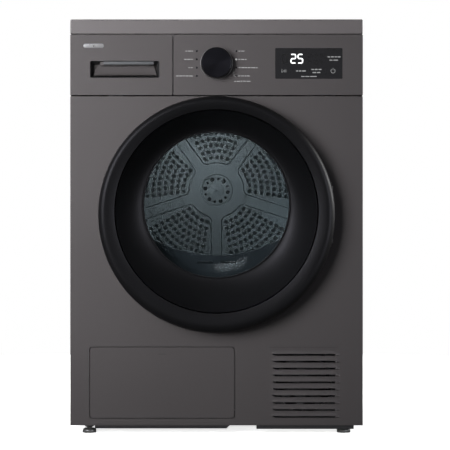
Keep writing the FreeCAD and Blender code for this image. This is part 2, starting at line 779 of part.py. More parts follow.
def sector_outline(grow, y):
    # one of the fields between two arms, pointing straight up, with round corners
    inner = sector_inner_radius - grow
    outer = sector_outer_radius + grow
    corner = sector_corner + grow
    field = ring_y(outer, inner, y, y + 1, 0, drum_centre_z)
    reach = 2 * outer
    half = arm_width / 2 - grow
    turn = math.pi / arm_count
    # the two sides run beside the arms that stand half a field to the left and right
    apex_z = drum_centre_z + half / math.sin(turn)
    sides = [(0, apex_z), (reach * math.sin(turn), apex_z + reach * math.cos(turn)),
             (-reach * math.sin(turn), apex_z + reach * math.cos(turn))]
    field = field.common(prism_y(sides, y, y + 1))
    uprights = [edge for edge in field.Edges if abs(edge.tangentAt(edge.FirstParameter).y) > 0.9]
    field = field.makeFillet(corner, uprights)
    faces = sorted(field.Faces, key=lambda face: face.CenterOfMass.y)
    return faces[0].OuterWire


def drum_star():
    # a raised star of arms round the hub; its fields slope down to the plate
    front = drum_back_y - arm_proud
    disc = rod_y(drum_radius - sheet - 4, front, drum_back_y + 0.5, 0, drum_centre_z)
    slope = Part.makeLoft([sector_outline(arm_slope, front - 0.01), sector_outline(0, drum_back_y + 0.6)],
                          True, True)
    for index in range(arm_count):
        field = slope.copy()
        field.rotate(Vector(0, 0, drum_centre_z), along_y, 360 / arm_count * index)
        disc = disc.cut(field)
    for index in range(12):
        x, z, radius = hub_hole(index)
        disc = disc.cut(rod_y(radius, front - 1, drum_back_y + 1, x, z))
    return disc


def hub_hole(index):
    # twelve holes round the hub, large and small by turns
    angle = math.radians(111 + 30 * index)
    radius = 4.8 if index % 2 == 0 else 3.0
    return hub_hole_radius * math.cos(angle), drum_centre_z + hub_hole_radius * math.sin(angle), radius


def make_drum_lifters():
    inner_radius = drum_radius - sheet
    envelope = rod_y(inner_radius, drum_front_y, drum_back_y + 2, 0, drum_centre_z)
    top_z = -inner_radius + lifter_height
    section = [(-34, -inner_radius - 5), (34, -inner_radius - 5), (28, -inner_radius + 12),
               (13, top_z + 3), (8, top_z),
               (-8, top_z), (-13, top_z + 3), (-28, -inner_radius + 12)]
    section = [(x, drum_centre_z + z) for x, z in section]
    lifters = []
    for index in range(lifter_count):
        bar = prism_y(section, drum_front_y + 24, drum_back_y - 26).common(envelope)
        bar.rotate(Vector(0, 0, drum_centre_z), along_y, index * 360 / lifter_count)
        lifters.append(bar)
    return Part.makeCompound(lifters)


def make_drum_shaft():
    flange = rod_y(70, drum_back_y + plate_thick, drum_back_y + 6, 0, drum_centre_z)
    shaft = rod_y(drum_shaft_radius, drum_back_y + 5, rear_inner_y - 6, 0, drum_centre_z)
    return joined([flange, shaft])


def make_rear_bearing_housing():
    back = rear_inner_y
    tube = rod_y(22, drum_back_y + 12, back, 0, drum_centre_z)
    flange = rod_y(60, back - 5, back, 0, drum_centre_z)
    body = joined([tube, flange])
    return body.cut(rod_y(drum_shaft_radius + running_gap, drum_back_y + 11, back - 4, 0, drum_centre_z))


# drive

def make_drive_belt():
    y1 = belt_y + belt_width
    inner_drum = drum_radius + free_gap
    inner_pulley = pulley_radius + free_gap
    outer = two_circle_prism(0, drum_centre_z, inner_drum + belt_thick, motor_x, motor_z,
                             inner_pulley + belt_thick,
                             belt_y, y1)
    inner = two_circle_prism(0, drum_centre_z, inner_drum, motor_x, motor_z, inner_pulley, belt_y - 1,
                             y1 + 1)
    return outer.cut(inner)


def make_motor():
    back = motor_front_y + motor_length
    profile = [(0, motor_front_y), (20, motor_front_y), (22, motor_front_y + 4),
               (motor_radius - 6, motor_front_y + 8),
               (motor_radius, motor_front_y + 16), (motor_radius, back - 16), (motor_radius - 6, back - 8),
               (22, back - 4), (20, back), (0, back)]
    body = turned_y(profile, motor_x, motor_z)
    return body.cut(rod_y(motor_shaft_radius + running_gap, motor_front_y - 1, back + 1, motor_x, motor_z))


def make_motor_bracket():
    ends = []
    for y in (motor_front_y + 20, motor_front_y + motor_length - 25):
        ends.append(prism_y([(motor_x - 60, base_floor_z), (motor_x + 60, base_floor_z),
                             (motor_x + 50, motor_z - 10),
                             (motor_x - 50, motor_z - 10)], y, y + 5))
    foot = box(motor_x - 60, motor_x + 60, motor_front_y + 20, motor_front_y + motor_length - 20,
               base_floor_z,
               base_floor_z + 3)
    cradle = joined(ends + [foot])
    return cradle.cut(rod_y(motor_radius, motor_front_y, motor_front_y + motor_length, motor_x, motor_z))


def make_motor_shaft():
    # the belt pulley is pressed on the front end, the blower wheel sits on the rear end
    collar = pulley_radius - 3
    y0 = belt_y - 1
    y1 = belt_y + belt_width + 1
    profile = [(0, y0 - 7), (motor_shaft_radius, y0 - 7), (motor_shaft_radius, y0 - 4), (collar, y0 - 4),
               (collar, y0),
               (pulley_radius, y0), (pulley_radius, y1), (collar, y1), (collar, y1 + 4),
               (motor_shaft_radius, y1 + 4),
               (motor_shaft_radius, rear_inner_y - 26), (0, rear_inner_y - 26)]
    return turned_y(profile, motor_x, motor_z)


def make_blower_wheel():
    y0 = blower_front_y + 18
    y1 = y0 + 52
    hub = ring_y(13, motor_shaft_radius, y0 + 10, y1 + 3, motor_x, motor_z)
    disc = ring_y(blower_radius, motor_shaft_radius, y1, y1 + 3, motor_x, motor_z)
    rim = ring_y(blower_radius, blower_radius - 4, y0, y0 + 3, motor_x, motor_z)
    blades = [hub, disc, rim]
    for index in range(24):
        blade = box(motor_x + blower_radius - 18, motor_x + blower_radius - 1, y0, y1 + 1, motor_z - 0.8,
                    motor_z + 0.8)
        blade.rotate(Vector(motor_x, 0, motor_z), along_y, index * 15)
        blades.append(blade)
    return joined(blades)


def make_blower_casing():
    casing = ring_y(blower_casing_radius, blower_casing_radius - 2.5, blower_front_y, rear_inner_y,
                    motor_x, motor_z)
    face = ring_y(blower_casing_radius - 1, 45, blower_front_y, blower_front_y + 2.5, motor_x, motor_z)
    foot = box(motor_x - 40, motor_x + 40, blower_front_y + 10, blower_front_y + 60, base_floor_z,
               motor_z - blower_casing_radius + 4)
    foot = foot.cut(rod_y(blower_casing_radius - 1, blower_front_y, rear_inner_y, motor_x, motor_z))
    return joined([casing, face, foot])


# heat pump

def make_exchanger_housing():
    shell = box(exchanger_left_x, exchanger_right_x, exchanger_front_y, exchanger_back_y, base_floor_z,
                exchanger_top_z)
    hollow = box(exchanger_left_x + 2.5, exchanger_right_x - 2.5, exchanger_front_y - 1,
                 exchanger_back_y - 2.5,
                 exchanger_bottom_z, exchanger_top_z - 2.5)
    inlet = box(-filter_half, filter_half - 5, duct_front_y + 3, duct_back_y - 3, exchanger_top_z - 4,
                exchanger_top_z + 1)
    outlet = box(exchanger_right_x - 4, exchanger_right_x + 1, exchanger_back_y - 90,
                 exchanger_back_y - 20, 60, 170)
    return joined([shell.cut(hollow).cut(inlet).cut(outlet), filter_duct()])


def make_exchanger_cover():
    plate = box(exchanger_left_x, exchanger_right_x, exchanger_front_y - 4, exchanger_front_y,
                base_floor_z + 24,
                exchanger_top_z)
    ribs = [plate]
    for index in range(3):
        z = 80 + index * 40
        ribs.append(box(exchanger_left_x + 60, 20, exchanger_front_y - 6, exchanger_front_y - 3, z, z + 6))
    cover = joined(ribs)
    for x, z in lever_places().values():
        cover = cover.cut(rod_y(4 + running_gap, exchanger_front_y - 7, exchanger_front_y + 1, x, z))
    return cover


def lever_places():
    left_x = exchanger_left_x + 34
    right_x = flap_x + flap_width / 2 - 14
    return {"lock_lever_left": (left_x, lever_z), "lock_lever_right": (right_x, lever_z)}


def make_lock_lever(x, z):
    pin = rod_y(4, exchanger_front_y - 10, exchanger_front_y - 0.5, x, z)
    handle = box(x - 6, x + 6, exchanger_front_y - 16, exchanger_front_y - 6.3, z - 22, z + 22)
    corners = [edge for edge in handle.Edges if abs(edge.tangentAt(edge.FirstParameter).y) > 0.9]
    return joined([handle.makeFillet(5, corners), pin])


def make_heat_exchangers():
    evaporator = exchanger(exchanger_front_y + 11, exchanger_front_y + 111)
    condenser = exchanger(exchanger_front_y + 126, exchanger_back_y - 22)
    return Part.makeCompound([evaporator, condenser])


def exchanger(y0, y1):
    # thin upright fins on rows of tube that bend back at the right end
    x0 = exchanger_left_x + 2.5
    x1 = exchanger_right_x - 30
    fin_pitch = (x1 - x0 - fin_thick) / (fin_count - 1)
    pieces = []
    for index in range(fin_count):
        x = x0 + index * fin_pitch
        pieces.append(box(x, x + fin_thick, y0, y1, exchanger_bottom_z, exchanger_top_z - 12))
    for row in range(4):
        z = exchanger_bottom_z + 22 + row * 34
        for y in (y0 + 20, y1 - 20):
            pieces.append(rod_x(tube_radius, x0, x1 + 14, y, z))
        pieces.append(box(x1 + 8, x1 + 14, y0 + 20, y1 - 20, z - tube_radius + 1, z + tube_radius - 1))
    pieces.append(box(x1 + 9, x1 + 13, y0 + 18, y0 + 24, exchanger_bottom_z + 22, exchanger_bottom_z + 124))
    return joined(pieces)


def make_compressor():
    x = compressor_x
    y = compressor_y
    r = compressor_radius
    low = compressor_foot_z
    profile = [(0, low), (r - 8, low), (r, low + 11), (r, low + 131), (r - 8, low + 145),
               (r - 30, low + 152),
               (0, low + 154)]
    can = turned_z(profile, x, y)
    plate = box(x - r - 10, x + r + 10, y - r - 6, y + r + 6, low, low + 3)
    return joined([can, plate, rod_z(9, low + 150, low + 161, x + 20, y)])


def pipe(points, radius):
    # straight runs of tube with a ball at every bend
    runs = [Part.makeSphere(radius, Vector(*point)) for point in points[1:-1]]
    for start, end in zip(points, points[1:]):
        a = Vector(*start)
        b = Vector(*end)
        runs.append(Part.makeCylinder(radius, (b - a).Length, a, b - a))
    return joined(runs)


def make_refrigerant_pipes():
    top_z = exchanger_top_z + 12
    bend_x = exchanger_right_x
    suction = pipe([(bend_x, exchanger_front_y + 31, 164),
                    (bend_x + 16, exchanger_front_y + 60, 164),
                    (compressor_x - compressor_radius, compressor_y, 164)], 4.0)
    delivery = pipe([(compressor_x + 20, compressor_y, compressor_foot_z + 161),
                     (compressor_x + 20, compressor_y, top_z),
                     (compressor_x + 20, exchanger_back_y - 30, top_z - 6),
                     (exchanger_right_x + 12, exchanger_back_y - 30, 190),
                     (exchanger_right_x, exchanger_back_y - 30, 190)], 3.5)
    brazed_to = Part.makeCompound([make_compressor(), make_exchanger_housing(), make_heat_exchangers()])
    trimmed = [suction.cut(brazed_to), delivery.cut(brazed_to)]
    return Part.makeCompound([max(run.Solids, key=lambda solid: solid.Volume) for run in trimmed])


def fan_shroud():
    # a ring round the fan, held up from the base on a short foot
    y0 = front_y + 16
    y1 = y0 + 24
    ring = ring_y(fan_radius + 8, fan_radius + 4, y0, y1, fan_x, fan_z)
    bars = [ring]
    for turn in (0, 90):
        bar = box(fan_x - fan_radius - 5, fan_x + fan_radius + 5, y1 - 3, y1, fan_z - 3, fan_z + 3)
        bar.rotate(Vector(fan_x, 0, fan_z), along_y, turn)
        bars.append(bar)
    foot = box(fan_x - 30, fan_x + 30, base_front_y, y1, base_floor_z, fan_z - fan_radius - 2)
    foot = foot.cut(rod_y(fan_radius + 5, y0 - 1, y1 + 1, fan_x, fan_z))
    bars.append(foot)
    bars.append(rod_y(15, y1 - 8, y1, fan_x, fan_z))
    shroud = joined(bars)
    return shroud.cut(rod_y(3 + running_gap, y0, y1 - 2, fan_x, fan_z))


def make_cooling_fan():
    y0 = front_y + 17
    hub = rod_y(14, y0, y0 + 12, fan_x, fan_z)
    stub = rod_y(3, y0 + 11, y0 + 20, fan_x, fan_z)
    blades = [hub, stub]
    for index in range(7):
        blade = box(fan_x + 10, fan_x + fan_radius, y0 + 1, y0 + 3, fan_z - 9, fan_z + 9)
        blade.rotate(Vector(fan_x, y0 + 2, fan_z), along_x, 28)
        blade.translate(Vector(0, 4, 0))
        blade.rotate(Vector(fan_x, 0, fan_z), along_y, index * 360 / 7)
        blades.append(blade)
    return joined(blades)


def make_drain_pump():
    sump = rod_z(30, base_floor_z, base_floor_z + 30, pump_x, pump_y)
    motor = rod_z(20, base_floor_z + 29, base_floor_z + 68, pump_x, pump_y)
    outlet = rod_x(5, pump_x - 45, pump_x, pump_y, base_floor_z + 15)
    return joined([sump, motor, outlet])


def make_drain_spigot():
    end = rear_y + spigot_length
    outer = rod_y(spigot_radius, rear_y, end, spigot_x, spigot_z)
    flange = rod_y(spigot_radius + 6.5, rear_y, rear_y + 3, spigot_x, spigot_z)
    return joined([outer, flange]).cut(rod_y(spigot_bore, rear_y - 1, end + 1, spigot_x, spigot_z))


def make_power_inlet():
    body = box(inlet_x - 20, inlet_x + 20, rear_y, rear_y + 8, inlet_z - 14, inlet_z + 14)
    gland = rod_y(9, rear_y + 7, rear_y + 15, inlet_x, inlet_z)
    return joined([body, gland]).cut(rod_y(5, rear_y + 4, rear_y + 16, inlet_x, inlet_z))


def make_rear_screws():
    screws = []
    for side in (-1, 1):
        for index in range(6):
            z = 60 + index * 145
            screws.append(rod_y(4.5, rear_y, rear_y + 2.5, side * (half_width - 9), z))
    return Part.makeCompound(screws)


# door

def hinge_arm(z, grow):
    # one arm from the pin back to the panel, and the knuckle round the pin
    half = hinge_arm_width / 2 + grow
    tall = hinge_arm_height / 2 + grow
    bar = box(hinge_x - half, hinge_x + half, hinge_y, panel_back_y + 1, z - tall, z + tall)
    knuckle = rod_z(half + 1.5, z - tall, z + tall, hinge_x, hinge_y)
    return bar.fuse(knuckle)


def hinge_room():
    # the space that the two arms sweep as seen from the door
    room = []
    for side in (-1, 1):
        z = door_centre_z + side * hinge_spread
        for angle in range(0, hinge_swing + 13, 12):
            arm = hinge_arm(z, 0.8)
            arm.rotate(Vector(hinge_x, hinge_y, 0), along_z, -min(angle, hinge_swing))
            room.append(arm)
    return room[0].multiFuse(room[1:])


def make_hinge_bracket():
    pieces = []
    for side in (-1, 1):
        z = door_centre_z + side * hinge_spread
        arm = hinge_arm(z, 0)
        pieces.append(arm.cut(rod_z(hinge_pin_radius + running_gap, z - 10, z + 10, hinge_x, hinge_y)))
    span = hinge_spread + 16
    pieces.append(box(hinge_x - 18, hinge_x + 22, panel_back_y, panel_back_y + 4, door_centre_z - span,
                      door_centre_z + span))
    return joined(pieces)


def make_hinge_pin():
    span = hinge_spread + 12
    return rod_z(hinge_pin_radius, door_centre_z - span, door_centre_z + span, hinge_x, hinge_y)


def make_door_outer_ring():
    back = front_y - door_gap
    crest = -depth / 2
    r = door_radius
    inner = groove_radius - 16.0
    skin = [(r, back - 7), (r, crest + 18), (r - 1.5, crest + 12), (r - 4.5, crest + 7), (r - 9, crest + 3),
            (r - 14, crest + 0.8), (r - 18.5, crest), (r - 28, crest + 1.2), (inner, crest + 5),
            (inner, crest + 8), (r - 28, crest + 4.4), (r - 18.5, crest + 3.2), (r - 12, crest + 5),
            (r - 6, crest + 10),
            (r - 3, crest + 18), (r - 3, back - 7), (r - 5, back - 3), (r - 2, back - 3)]
    ring = turned_y(skin, 0, door_centre_z)
    ring = ring.cut(rod_y(groove_radius, crest - 1, back, 0, groove_centre_z))
    inner_wall = ring_y(groove_radius + door_wall, groove_radius, crest + 5, back - 3, 0, groove_centre_z)
    boss = box(hinge_x - 6, hinge_x + 5, hinge_y - 6, back - 3, door_centre_z - 74, door_centre_z + 74)
    ring = joined([ring, inner_wall, boss])
    room = hinge_room()
    return ring.cut(room).cut(make_hinge_pin())


def make_door_inner_frame():
    back = front_y - door_gap
    plate = rod_y(door_radius - 2, back - 3, back, 0, door_centre_z)
    plate = plate.cut(rod_y(neck_radius - 3, back - 4, back + 1, 0, neck_centre_z))
    neck = ring_y(neck_radius, neck_radius - 3, back - 3, glass_front_y + 7, 0, neck_centre_z)
    rear = rod_y(neck_radius, glass_front_y + 4, glass_front_y + 7, 0, neck_centre_z)
    rear = rear.cut(rod_y(glass_radius - 2, glass_front_y + 3, glass_front_y + 8, 0, glass_centre_z))
    frame = joined([plate, neck, rear])
    return frame.cut(hinge_room())


def skew_cone(front_z, front_r, front_at, back_z, back_r, back_at):
    front = Part.Wire(Part.makeCircle(front_r, Vector(0, front_at, front_z), along_y))
    back = Part.Wire(Part.makeCircle(back_r, Vector(0, back_at, back_z), along_y))
    return Part.makeLoft([front, back], True, True)


def make_door_bowl_trim():
    # the sloping bowl from the groove in to the smaller, higher glass
    crest = -depth / 2
    front_at = crest + 5
    front_r = groove_radius - groove_width
    inside = skew_cone(groove_centre_z, front_r - 2.0, front_at, glass_centre_z, glass_radius,
                       glass_front_y)
    outside = skew_cone(groove_centre_z, front_r, front_at, glass_centre_z, glass_radius + 4.5,
                        glass_front_y)
    return outside.cut(inside)


def make_door_glass():
    y0 = glass_front_y
    y1 = glass_front_y + glass_depth
    t = glass_thick
    profile = [(glass_radius + 10, y0), (glass_radius + 10, y0 + t), (glass_radius - 5, y0 + t),
               (glass_radius - 28, y1 - 5), (glass_radius - 34, y1 - 1.5), (70, y1 - 0.5), (0, y1),
               (0, y1 - t),
               (70, y1 - t - 0.5), (glass_radius - 36, y1 - t - 1.5), (glass_radius - 32, y1 - t - 4.5),
               (glass_radius - 9, y0)]
    return turned_y(profile, 0, glass_centre_z)


def make_door_seal():
    y0 = glass_front_y + 7
    y1 = mouth_front_y - free_gap
    profile = [(178, y0), (190, y0), (190, y0 + 1.5), (187, y1), (184, y1), (181, y0 + 1.5),
               (178, y0 + 1.5)]
    return turned_y(profile, 0, mouth_centre_z)


def make_latch_hook():
    back = front_y - door_gap
    stem = box(latch_x - 2, latch_x + 2, back, front_y + 14, door_centre_z - 7, door_centre_z + 7)
    barb = box(latch_x - 4, latch_x, front_y + 10, front_y + 14, door_centre_z - 7, door_centre_z + 7)
    foot = box(latch_x - 6, latch_x + 6, back, back + 1.5, door_centre_z - 10, door_centre_z + 10)
    return joined([stem, barb, foot])


def make_latch_catch():
    body = box(latch_x - 14, latch_x + 14, panel_back_y, front_y + 26, door_centre_z - 22,
               door_centre_z + 22)
    pocket = box(latch_x - 8, latch_x + 8, panel_back_y - 1, front_y + 18, door_centre_z - 13,
                 door_centre_z + 13)
    return body.cut(pocket)


parts = {
    "left_side_panel": make_side_panel(-1),
    "right_side_panel": make_side_panel(1),
    "rear_panel": make_rear_panel(),
    "rear_duct_cover": make_rear_duct_cover(),
    "rear_screws": make_rear_screws(),
    "worktop_frame": make_worktop_frame(),
    "worktop_board": make_worktop_board(),
    "front_crossbar": make_front_crossbar(),
    "front_panel": make_front_panel(),
    "vent_louvres": make_vent_louvres(),
    "service_flap": make_service_flap(),
    "base_pan": make_base_pan(),
    "drawer_front": make_drawer_front(),
    "tank_body": make_tank_body(),
    "tank_lid": make_tank_lid(),
    "tank_cradle": make_tank_cradle(),
    "console_fascia": make_console_fascia(),
    "console_carrier": make_console_carrier(),
    "display_window": make_display_window(),
    "control_board": make_control_board(),
    "program_knob": make_program_knob(),
    "front_bulkhead": make_front_bulkhead(),
    "filter_housing": make_filter_housing(),
    "lint_filter": make_lint_filter(),
    "drum_front_felt": make_drum_front_felt(),
    "drum_shell": make_drum_shell(),
    "drum_back": make_drum_back(),
    "drum_lifters": make_drum_lifters(),
    "drum_shaft": make_drum_shaft(),
    "rear_bearing_housing": make_rear_bearing_housing(),
    "drive_belt": make_drive_belt(),
    "motor": make_motor(),
    "motor_bracket": make_motor_bracket(),
    "motor_shaft": make_motor_shaft(),
    "blower_wheel": make_blower_wheel(),
    "blower_casing": make_blower_casing(),
    "exchanger_housing": make_exchanger_housing(),
    "exchanger_cover": make_exchanger_cover(),
    "heat_exchangers": make_heat_exchangers(),
    "compressor": make_compressor(),
    "refrigerant_pipes": make_refrigerant_pipes(),
    "cooling_fan": make_cooling_fan(),
    "drain_pump": make_drain_pump(),
    "drain_spigot": make_drain_spigot(),
    "power_inlet": make_power_inlet(),
    "door_outer_ring": make_door_outer_ring(),
    "door_inner_frame": make_door_inner_frame(),
    "door_bowl_trim": make_door_bowl_trim(),
    "door_glass": make_door_glass(),
    "door_seal": make_door_seal(),
    "hinge_bracket": make_hinge_bracket(),
    "hinge_pin": make_hinge_pin(),
    "latch_hook": make_latch_hook(),
    "latch_catch": make_latch_catch(),
}
for name, (x, y) in foot_places().items():
    parts[name] = make_foot(x, y)
for name, (x, z) in lever_places().items():
    parts[name] = make_lock_lever(x, z)

os.makedirs("parts", exist_ok=True)
for name, shape in parts.items():
    shape.exportStep("parts/" + name + ".step")
    print(name, len(shape.Solids), shape.isValid(), round(shape.Volume / 1000, 1))
print(len(parts), "nodes")
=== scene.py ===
import json
import bmesh
import bpy
import numpy as np
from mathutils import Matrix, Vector

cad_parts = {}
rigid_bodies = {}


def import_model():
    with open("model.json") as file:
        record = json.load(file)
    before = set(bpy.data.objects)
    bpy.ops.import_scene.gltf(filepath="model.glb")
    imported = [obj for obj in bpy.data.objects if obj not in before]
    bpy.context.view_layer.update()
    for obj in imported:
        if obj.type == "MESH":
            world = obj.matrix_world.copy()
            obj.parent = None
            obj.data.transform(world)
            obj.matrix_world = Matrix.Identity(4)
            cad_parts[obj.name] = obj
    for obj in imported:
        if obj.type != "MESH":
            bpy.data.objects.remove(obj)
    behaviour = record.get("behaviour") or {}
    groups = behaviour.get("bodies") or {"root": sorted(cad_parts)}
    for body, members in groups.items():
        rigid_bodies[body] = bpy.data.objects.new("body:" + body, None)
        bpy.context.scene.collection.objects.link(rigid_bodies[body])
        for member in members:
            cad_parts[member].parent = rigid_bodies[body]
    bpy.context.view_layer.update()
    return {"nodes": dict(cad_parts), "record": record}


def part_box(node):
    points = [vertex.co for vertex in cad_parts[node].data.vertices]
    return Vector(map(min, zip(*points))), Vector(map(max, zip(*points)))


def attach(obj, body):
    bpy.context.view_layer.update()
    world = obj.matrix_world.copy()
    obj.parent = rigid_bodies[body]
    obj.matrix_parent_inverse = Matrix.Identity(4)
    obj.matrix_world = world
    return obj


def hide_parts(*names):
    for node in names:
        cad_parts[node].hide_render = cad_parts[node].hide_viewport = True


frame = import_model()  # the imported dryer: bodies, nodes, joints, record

mm = 0.001
weldReach = 2e-6
print("frame loaded")


# mesh helpers

def placed(item):
    # puts a new object in the scene
    bpy.context.scene.collection.objects.link(item)
    return item


def circle(steps):
    # evenly spaced angles, the last one short of a full turn
    return np.linspace(0, 2 * np.pi, steps, endpoint=False)


def reworked(mesh, weld=True, outward=True):
    # joins points closer than the weld reach and turns the faces outwards
    work = bmesh.new()
    work.from_mesh(mesh)
    if weld:
        bmesh.ops.remove_doubles(work, verts=work.verts, dist=weldReach)
    if outward:
        bmesh.ops.recalc_face_normals(work, faces=work.faces)
    work.to_mesh(mesh)
    work.free()


def boxOf(node):
    return [np.array(corner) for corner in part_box(node)]


def wrapFaces(rows, columns, closeRows=True, closeColumns=True):
    # quads of a grid: corner (i, j) joins (i+1, j), (i+1, j+1), (i, j+1), wrapping where it closes
    across, along = np.arange(rows - (not closeRows)), np.arange(columns - (not closeColumns))
    i, j = np.meshgrid(across, along, indexing="ij")
    i2, j2 = (i + 1) % rows, (j + 1) % columns
    quads = np.stack([i * columns + j, i2 * columns + j, i2 * columns + j2, i * columns + j2], -1)
    return quads.reshape(-1, 4).tolist()


def softCorners(corners, reach, steps=5, closed=True):
    # every corner becomes a quadratic arc that starts and ends `reach` away, or 0.48 of a short side
    p = np.array(corners, float)
    before, after = np.roll(p, 1, 0), np.roll(p, -1, 0)
    sides = [before - p, after - p]
    lengths = [np.maximum(np.linalg.norm(s, axis=1, keepdims=True), 1e-9) for s in sides]
    starts = [p + s / l * np.minimum(reach, l * 0.48) for s, l in zip(sides, lengths)]
    t = np.linspace(0, 1, steps)[None, :, None]
    arc = (1 - t) ** 2 * starts[0][:, None] + 2 * t * (1 - t) * p[:, None] + t ** 2 * starts[1][:, None]
    if not closed:
        return np.concatenate([p[:1], arc[1:-1].reshape(-1, p.shape[1]), p[-1:]])
    return arc.reshape(-1, p.shape[1])


def turned(profile, x, z, steps=160):
    # a closed (radius, y) section turned about the line along Y: x + r cos a, y, z + r sin a
    angle = circle(steps)[:, None]
    r, y = profile[None, :, 0], profile[None, :, 1]
    points = np.stack([x + r * np.cos(angle), y + 0 * angle, z + r * np.sin(angle)], -1)
    return points.reshape(-1, 3), wrapFaces(steps, len(profile))


def stacked(loops):
    # closed loops one behind the other, with a flat cap on the first and on the last
    count, around = loops.shape[:2]
    faces = wrapFaces(count, around, closeRows=False)
    faces.append(list(range(around)))
    faces.append(list(range((count - 1) * around, count * around)))
    return loops.reshape(-1, 3), faces


def roundedRect(x, z, wide, tall, radius, steps=8):
    # quarter arcs round the four corners, one after the other
    a = np.linspace(0, np.pi / 2, steps)
    turns = (a[None, :] + np.arange(4)[:, None] * np.pi / 2).ravel()
    sx = np.repeat([1, -1, -1, 1], steps) * (wide / 2 - radius)
    sz = np.repeat([1, 1, -1, -1], steps) * (tall / 2 - radius)
    return np.stack([x + sx + radius * np.cos(turns), z + sz + radius * np.sin(turns)], -1)


def plate(x, z, wide, tall, radius, front, back, edge, steps=8):
    # an upright rounded plate whose front edge is a quarter round of size `edge`
    turns = np.linspace(0, np.pi / 2, 5)
    insets = np.concatenate([[0], edge * (1 - np.cos(turns))])
    depths = np.concatenate([[back], front + edge * (1 - np.sin(turns))])
    loops = []
    for inset, y in zip(insets, depths):
        flat = roundedRect(x, z, wide - 2 * inset, tall - 2 * inset, max(radius - inset, edge * 0.2), steps)
        loops.append(np.stack([flat[:, 0], np.full(len(flat), y), flat[:, 1]], -1))
    return stacked(np.array(loops))


def ribbon(path, width, front, thick=0.12 * mm):
    # a flat stroke along an (x, z) path: half width w sqrt(1 - s^2) within w of either end, for round ends
    path = np.array(path, float)
    step = np.linalg.norm(np.diff(path, axis=0), axis=1)
    length = np.concatenate([[0], np.cumsum(step)])
    half = width / 2
    ends = half * (1 - np.cos(np.linspace(0, np.pi / 2, 5)))
    inner = length[(length > half * 1.05) & (length < length[-1] - half * 1.05)]
    at = np.concatenate([ends, inner, (length[-1] - ends)[::-1]])
    px, pz = (np.interp(at, length, path[:, k]) for k in (0, 1))
    probe = half * 0.2
    ahead = [np.interp(at + probe, length, path[:, k]) - np.interp(at - probe, length, path[:, k])
             for k in (0, 1)]
    size = np.maximum(np.hypot(*ahead), 1e-9)
    nx, nz = -ahead[1] / size, ahead[0] / size
    edge = np.minimum(np.minimum(at, length[-1] - at) / half, 1)
    w = half * np.sqrt(np.clip(1 - (1 - edge) ** 2, 0, 1)) + 1e-6
    corners = [(1, front), (-1, front), (-1, front + thick), (1, front + thick)]
    loops = [np.stack([px + s * w * nx, np.full(len(at), y), pz + s * w * nz], -1) for s, y in corners]
    return stacked(np.stack(loops, 1))


def arcPath(x, z, radius, startTurn, endTurn, steps=24):
    a = np.radians(np.linspace(startTurn, endTurn, steps))
    return np.stack([x + radius * np.cos(a), z + radius * np.sin(a)], -1)


def merged(shapes):
    points, faces, offset = [], [], 0
    for p, f in shapes:
        points.append(p)
        faces += [[k + offset for k in face] for face in f]
        offset += len(p)
    return np.concatenate(points), faces


def addPiece(name, shape, body, slot, finish=None, replaces=(), sharp=35):
    # the mesh is welded at seams and poles, turned to face outwards and shaded smooth between sharp edges;
    # without a finish of its own a piece takes the one of its slot
    mesh = bpy.data.meshes.new(name)
    mesh.from_pydata(shape[0].tolist(), [], shape[1])
    reworked(mesh)
    mesh.shade_smooth()
    mesh.set_sharp_from_angle(angle=np.radians(sharp))
    piece = placed(bpy.data.objects.new(name, mesh))
    mesh.materials.append(finish or finishOf[slot])
    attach(piece, body)
    if replaces:
        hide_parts(*replaces)
    return piece


def smoothCopy(node, sharp=32):
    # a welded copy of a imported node, so that its turned faces shade as one
    mesh = frame["nodes"][node].data.copy()
    reworked(mesh, outward=False)
    mesh.shade_smooth()
    mesh.set_sharp_from_angle(angle=np.radians(sharp))
    piece = placed(bpy.data.objects.new(node + "_finish", mesh))
    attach(piece, bodyOf[node])
    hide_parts(node)


# shader helpers

class Wire:
    # one output socket that can stand in a sum
    def __init__(self, finish, socket):
        self.finish = finish
        self.socket = socket

    def maths(self, operation, first, second):
        return self.finish.node("ShaderNodeMath", {"operation": operation}, {0: first, 1: second})

    def __add__(self, other):
        return self.maths("ADD", self, other)

    def __radd__(self, other):
        return self.maths("ADD", other, self)

    def __sub__(self, other):
        return self.maths("SUBTRACT", self, other)

    def __mul__(self, other):
        return self.maths("MULTIPLY", self, other)

    def __pow__(self, other):
        return self.maths("POWER", self, other)


